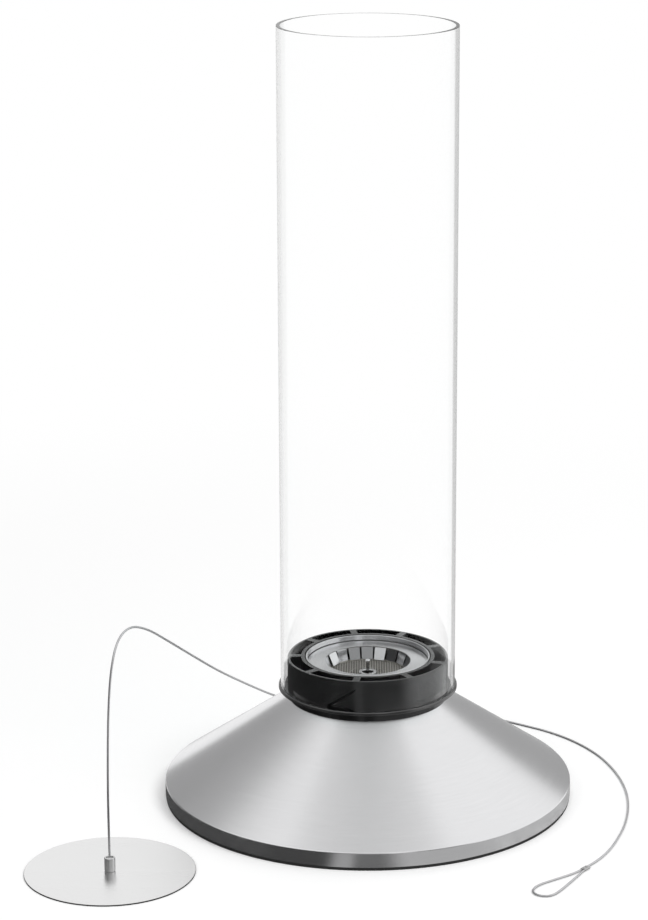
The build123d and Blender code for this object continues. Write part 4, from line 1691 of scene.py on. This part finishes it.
@dataclass
class Studio:
    """The camera, the pale floor, the white surroundings, the lamps and the cards."""

    camera_place: Triple = (0.0, -2.0046, 0.8005)
    look_down: float = 15.62
    focal_pixels: float = 3075.9
    centre_x: float = 367.77
    centre_y: float = 459.5
    sensor: float = 36.0
    farthest: float = 60.0
    floor_size: float = 24.0
    floor_tone: float = 0.9
    floor_lift: float = 0.15
    floor_fade_start: float = 0.35
    floor_fade_end: float = 1.1
    ambient: float = 0.56
    # Painted reflection: where behind the object the world turns greyer in the glass's own reflections, and
    # how light it stays on the left and on the right
    glass_mirror_behind: float = 0.8
    glass_mirror_left: float = 0.86
    glass_mirror_right: float = 0.66
    lamps: tuple[Lamp, ...] = (
        Lamp("key_lamp", (1.1, -0.9, 1.9), 1.3, 21.0),
        Lamp("fill_lamp", (-1.4, -1.2, 1.5), 1.5, 7.0),
        Lamp("back_lamp", (0.3, 1.7, 1.7), 1.4, 7.0),
    )
    cards: tuple[Card, ...] = (
        SkyCard("left_low_card", (-184, -17), (0.03, 0.05), (2, 4, 0, 0.04), rise=(-88, -12)),
        SkyCard("left_front_card", (-125, -14), (0.06, 0.10), (12, 5, 0, 0.3), rise=(-8, 40)),
        SkyCard("left_wash_card", (-159.5, -105), (0.36, 0.90), (2.5, 14, 0.03, 0.08), 2.7, rise=(-1, 70)),
        SkyCard("front_low_card", (-24, 80), (0.15,), (3, 40, 0, 0.02), rise=(-88, -1), distance=3.1),
        SkyCard("front_strip_card", (-23, -5), (0.24,), (5, 5, 0, 0.05), rise=(-60, -1), distance=2.9),
        SkyCard("right_low_card", (50, 152), (0.92,), (30, 12, 0, 0.04), rise=(-88, -12), distance=3.2),
        SkyCard("right_far_card", (140, 184), (0.36,), (12, 2, 0, 0.04), rise=(-88, -12), distance=3.3),
        SkyCard("right_back_card", (140.5, 184), (0.40, 0.68), (4, 4, 0.05, 0.06), 5.0, rise=(-13, 34)),
        SkyCard("burner_back_card", (165, 200), (0.64,), (6, 6, 0.1, 0.1), rise=(8, 30), distance=0.6),
        SkyCard("burner_right_card", (158, 181), (0.95,), (6, 5, 0.1, 0.1), rise=(8, 30), distance=0.58),
        SkyCard("burner_high_card", (166, 194), (0.26,), (6, 6, 0.1, 0.1), rise=(28, 75), distance=0.65),
        SkyCard("burner_left_card", (-137, -56), (0.04,), (4, 10, 0.1, 0.15), rise=(3, 22), distance=2.4),
        SkyCard("front_wash_card", (-20, 60), (0.34,), (3, 6, 0.03, 0.15), rise=(-1, 44)),
        SkyCard("front_light_card", (9.5, 25.5), (0.85,), (2, 2, 0.05, 0.15), rise=(0, 44), distance=2.8),
        SkyCard("ceiling_card", (-180, 180), (0.82, 0.62), (0, 0, 0.35, 0), rise=(64, 90)),
        FloorCard("under_card", (-180, 180), (0.01,), (0, 0, 0, 0), reach=(0.0005, 0.122)),
        FloorCard("left_floor_card", (-107, -12), (0.06,), (6, 3, 0, 0.1)),
        FloorCard("front_floor_card", (-16, 14), (0.15,), (3, 10, 0, 0.1), level=-0.0102),
        FloorCard("front_floor_strip", (-13, -3), (0.38,), (3.5, 3.5, 0, 0.1), level=-0.0098),
        FloorCard("right_floor_card", (4, 104), (0.47,), (10, 3, 0, 0.1)),
        FloorCard("left_glass_card", (-142, -40), (0.03,), (8, 10, 0, 0.05), 1, True, (0.13, 0.335), 0.163),
        FloorCard("right_glass_card", (40, 142), (0.32,), (40, 8, 0, 0.05), 1, True, (0.13, 0.498), -0.163),
        FloorCard("right_edge_card", (144, 178), (0.30,), (5, 3, 0, 0.1), 1, True, (0.13, 0.33)),
    )

    def build_camera(self) -> None:
        """Builds the camera that took the photograph."""
        data = bpy.data.cameras.new("camera")
        data.sensor_width = self.sensor
        data.lens = self.focal_pixels * self.sensor / PHOTO_HEIGHT
        data.shift_x = (PHOTO_WIDTH / 2 - self.centre_x) / PHOTO_HEIGHT
        data.shift_y = (self.centre_y - PHOTO_HEIGHT / 2) / PHOTO_HEIGHT
        data.clip_end = self.farthest
        camera = bpy.data.objects.new("camera", data)
        camera.location = self.camera_place
        camera.rotation_euler = (radians(90.0 - self.look_down), 0.0, 0.0)
        bpy.context.scene.collection.objects.link(camera)
        bpy.context.scene.camera = camera

    def build_floor(self) -> None:
        """Builds the floor: matt and pale round the object, and white further off."""
        half = self.floor_size / 2
        mesh = bpy.data.meshes.new("floor")
        corners = [(-half, -half, 0), (half, -half, 0), (half, half, 0), (-half, half, 0)]
        mesh.from_pydata(corners, [], [(0, 1, 2, 3)])
        floor = bpy.data.objects.new("floor", mesh)
        bpy.context.scene.collection.objects.link(floor)
        nodes = Nodes(bpy.data.materials.new("floor"))
        reach = nodes.add("ShaderNodeVectorMath", {0: nodes.place()}, "Value", operation="LENGTH")
        far = nodes.ramp(reach, self.floor_fade_end, self.floor_fade_start)
        ray = nodes.add("ShaderNodeLightPath").at
        seen = nodes.sum("MAXIMUM", ray("Is Camera Ray"), ray("Is Transmission Ray"))
        matt = nodes.add("ShaderNodeBsdfDiffuse", {"Color": (self.floor_tone,) * 3 + (1.0,)})
        lift = nodes.add("ShaderNodeEmission", {"Strength": seen * self.floor_lift})
        near = nodes.add("ShaderNodeAddShader", {0: matt, 1: lift})
        ground = nodes.mix(far, near, nodes.add("ShaderNodeEmission", {"Color": WHITE, "Strength": 1.0}))
        clear = nodes.add("ShaderNodeBsdfTransparent")
        shown = nodes.mix(ray("Glossy Depth") > 0.5, ground, clear)
        nodes.add("ShaderNodeOutputMaterial", {"Surface": shown})
        nodes.owner.cycles.emission_sampling = "NONE"
        mesh.materials.append(nodes.owner)
        floor.visible_glossy = False

    def build_surroundings(self) -> None:
        """Builds the world: white to the eye and in reflections, and a plain soft light on the object. In the
        glass's own reflections it is greyer behind the object, and darker on the right: painted reflection
        that draws the glass's edges.
        """
        world = bpy.data.worlds.new("surroundings")
        bpy.context.scene.world = world
        nodes = Nodes(world)
        ray = nodes.add("ShaderNodeLightPath").at
        seen = nodes.sum("MAXIMUM", ray("Is Camera Ray"), ray("Is Glossy Ray"))
        seen = nodes.sum("MAXIMUM", seen, ray("Is Transmission Ray"))
        by_glass = (ray("Glossy Depth") > 0.5) * ray("Is Singular Ray")
        x, y, _ = nodes.split(nodes.add("ShaderNodeTexCoord", output="Generated"))
        # painted reflection: dims the world behind the object, more on the right, for the glass's own
        # reflections only
        glass_mirror_shade = (x > 0.0) * (self.glass_mirror_left - self.glass_mirror_right) + (1.0 - self.glass_mirror_left)
        shown = seen - glass_mirror_shade * (by_glass * (y > self.glass_mirror_behind))
        strength = nodes.sum("MAXIMUM", shown, self.ambient)
        sky = nodes.add("ShaderNodeBackground", {"Color": WHITE, "Strength": strength})
        nodes.add("ShaderNodeOutputWorld", {"Surface": sky})
        world.cycles.sampling_method = "NONE"

    def build(self) -> None:
        """Builds the studio."""
        bpy.context.scene.view_settings.view_transform = "Standard"
        self.build_camera()
        self.build_floor()
        self.build_surroundings()
        for part in (*self.lamps, *self.cards):
            part.build()
        log.info("the studio stands, with %d lamps and %d cards", len(self.lamps), len(self.cards))


def main() -> None:
    """Builds the studio and the fireplace.

    The snuffer is the first of the assemblies to be built.
    """
    logging.basicConfig(level=logging.INFO, format="%(name)s: %(message)s")
    Studio().build()
    for finish in (Palette.polished, Palette.coat):
        log.info("the slot %s has its main finish", finish.material().name)
    for assembly in (Snuffer(), Base(), Chimney(), Burner(), Gauge()):
        assembly.build()


if __name__ == "__main__":
    main()
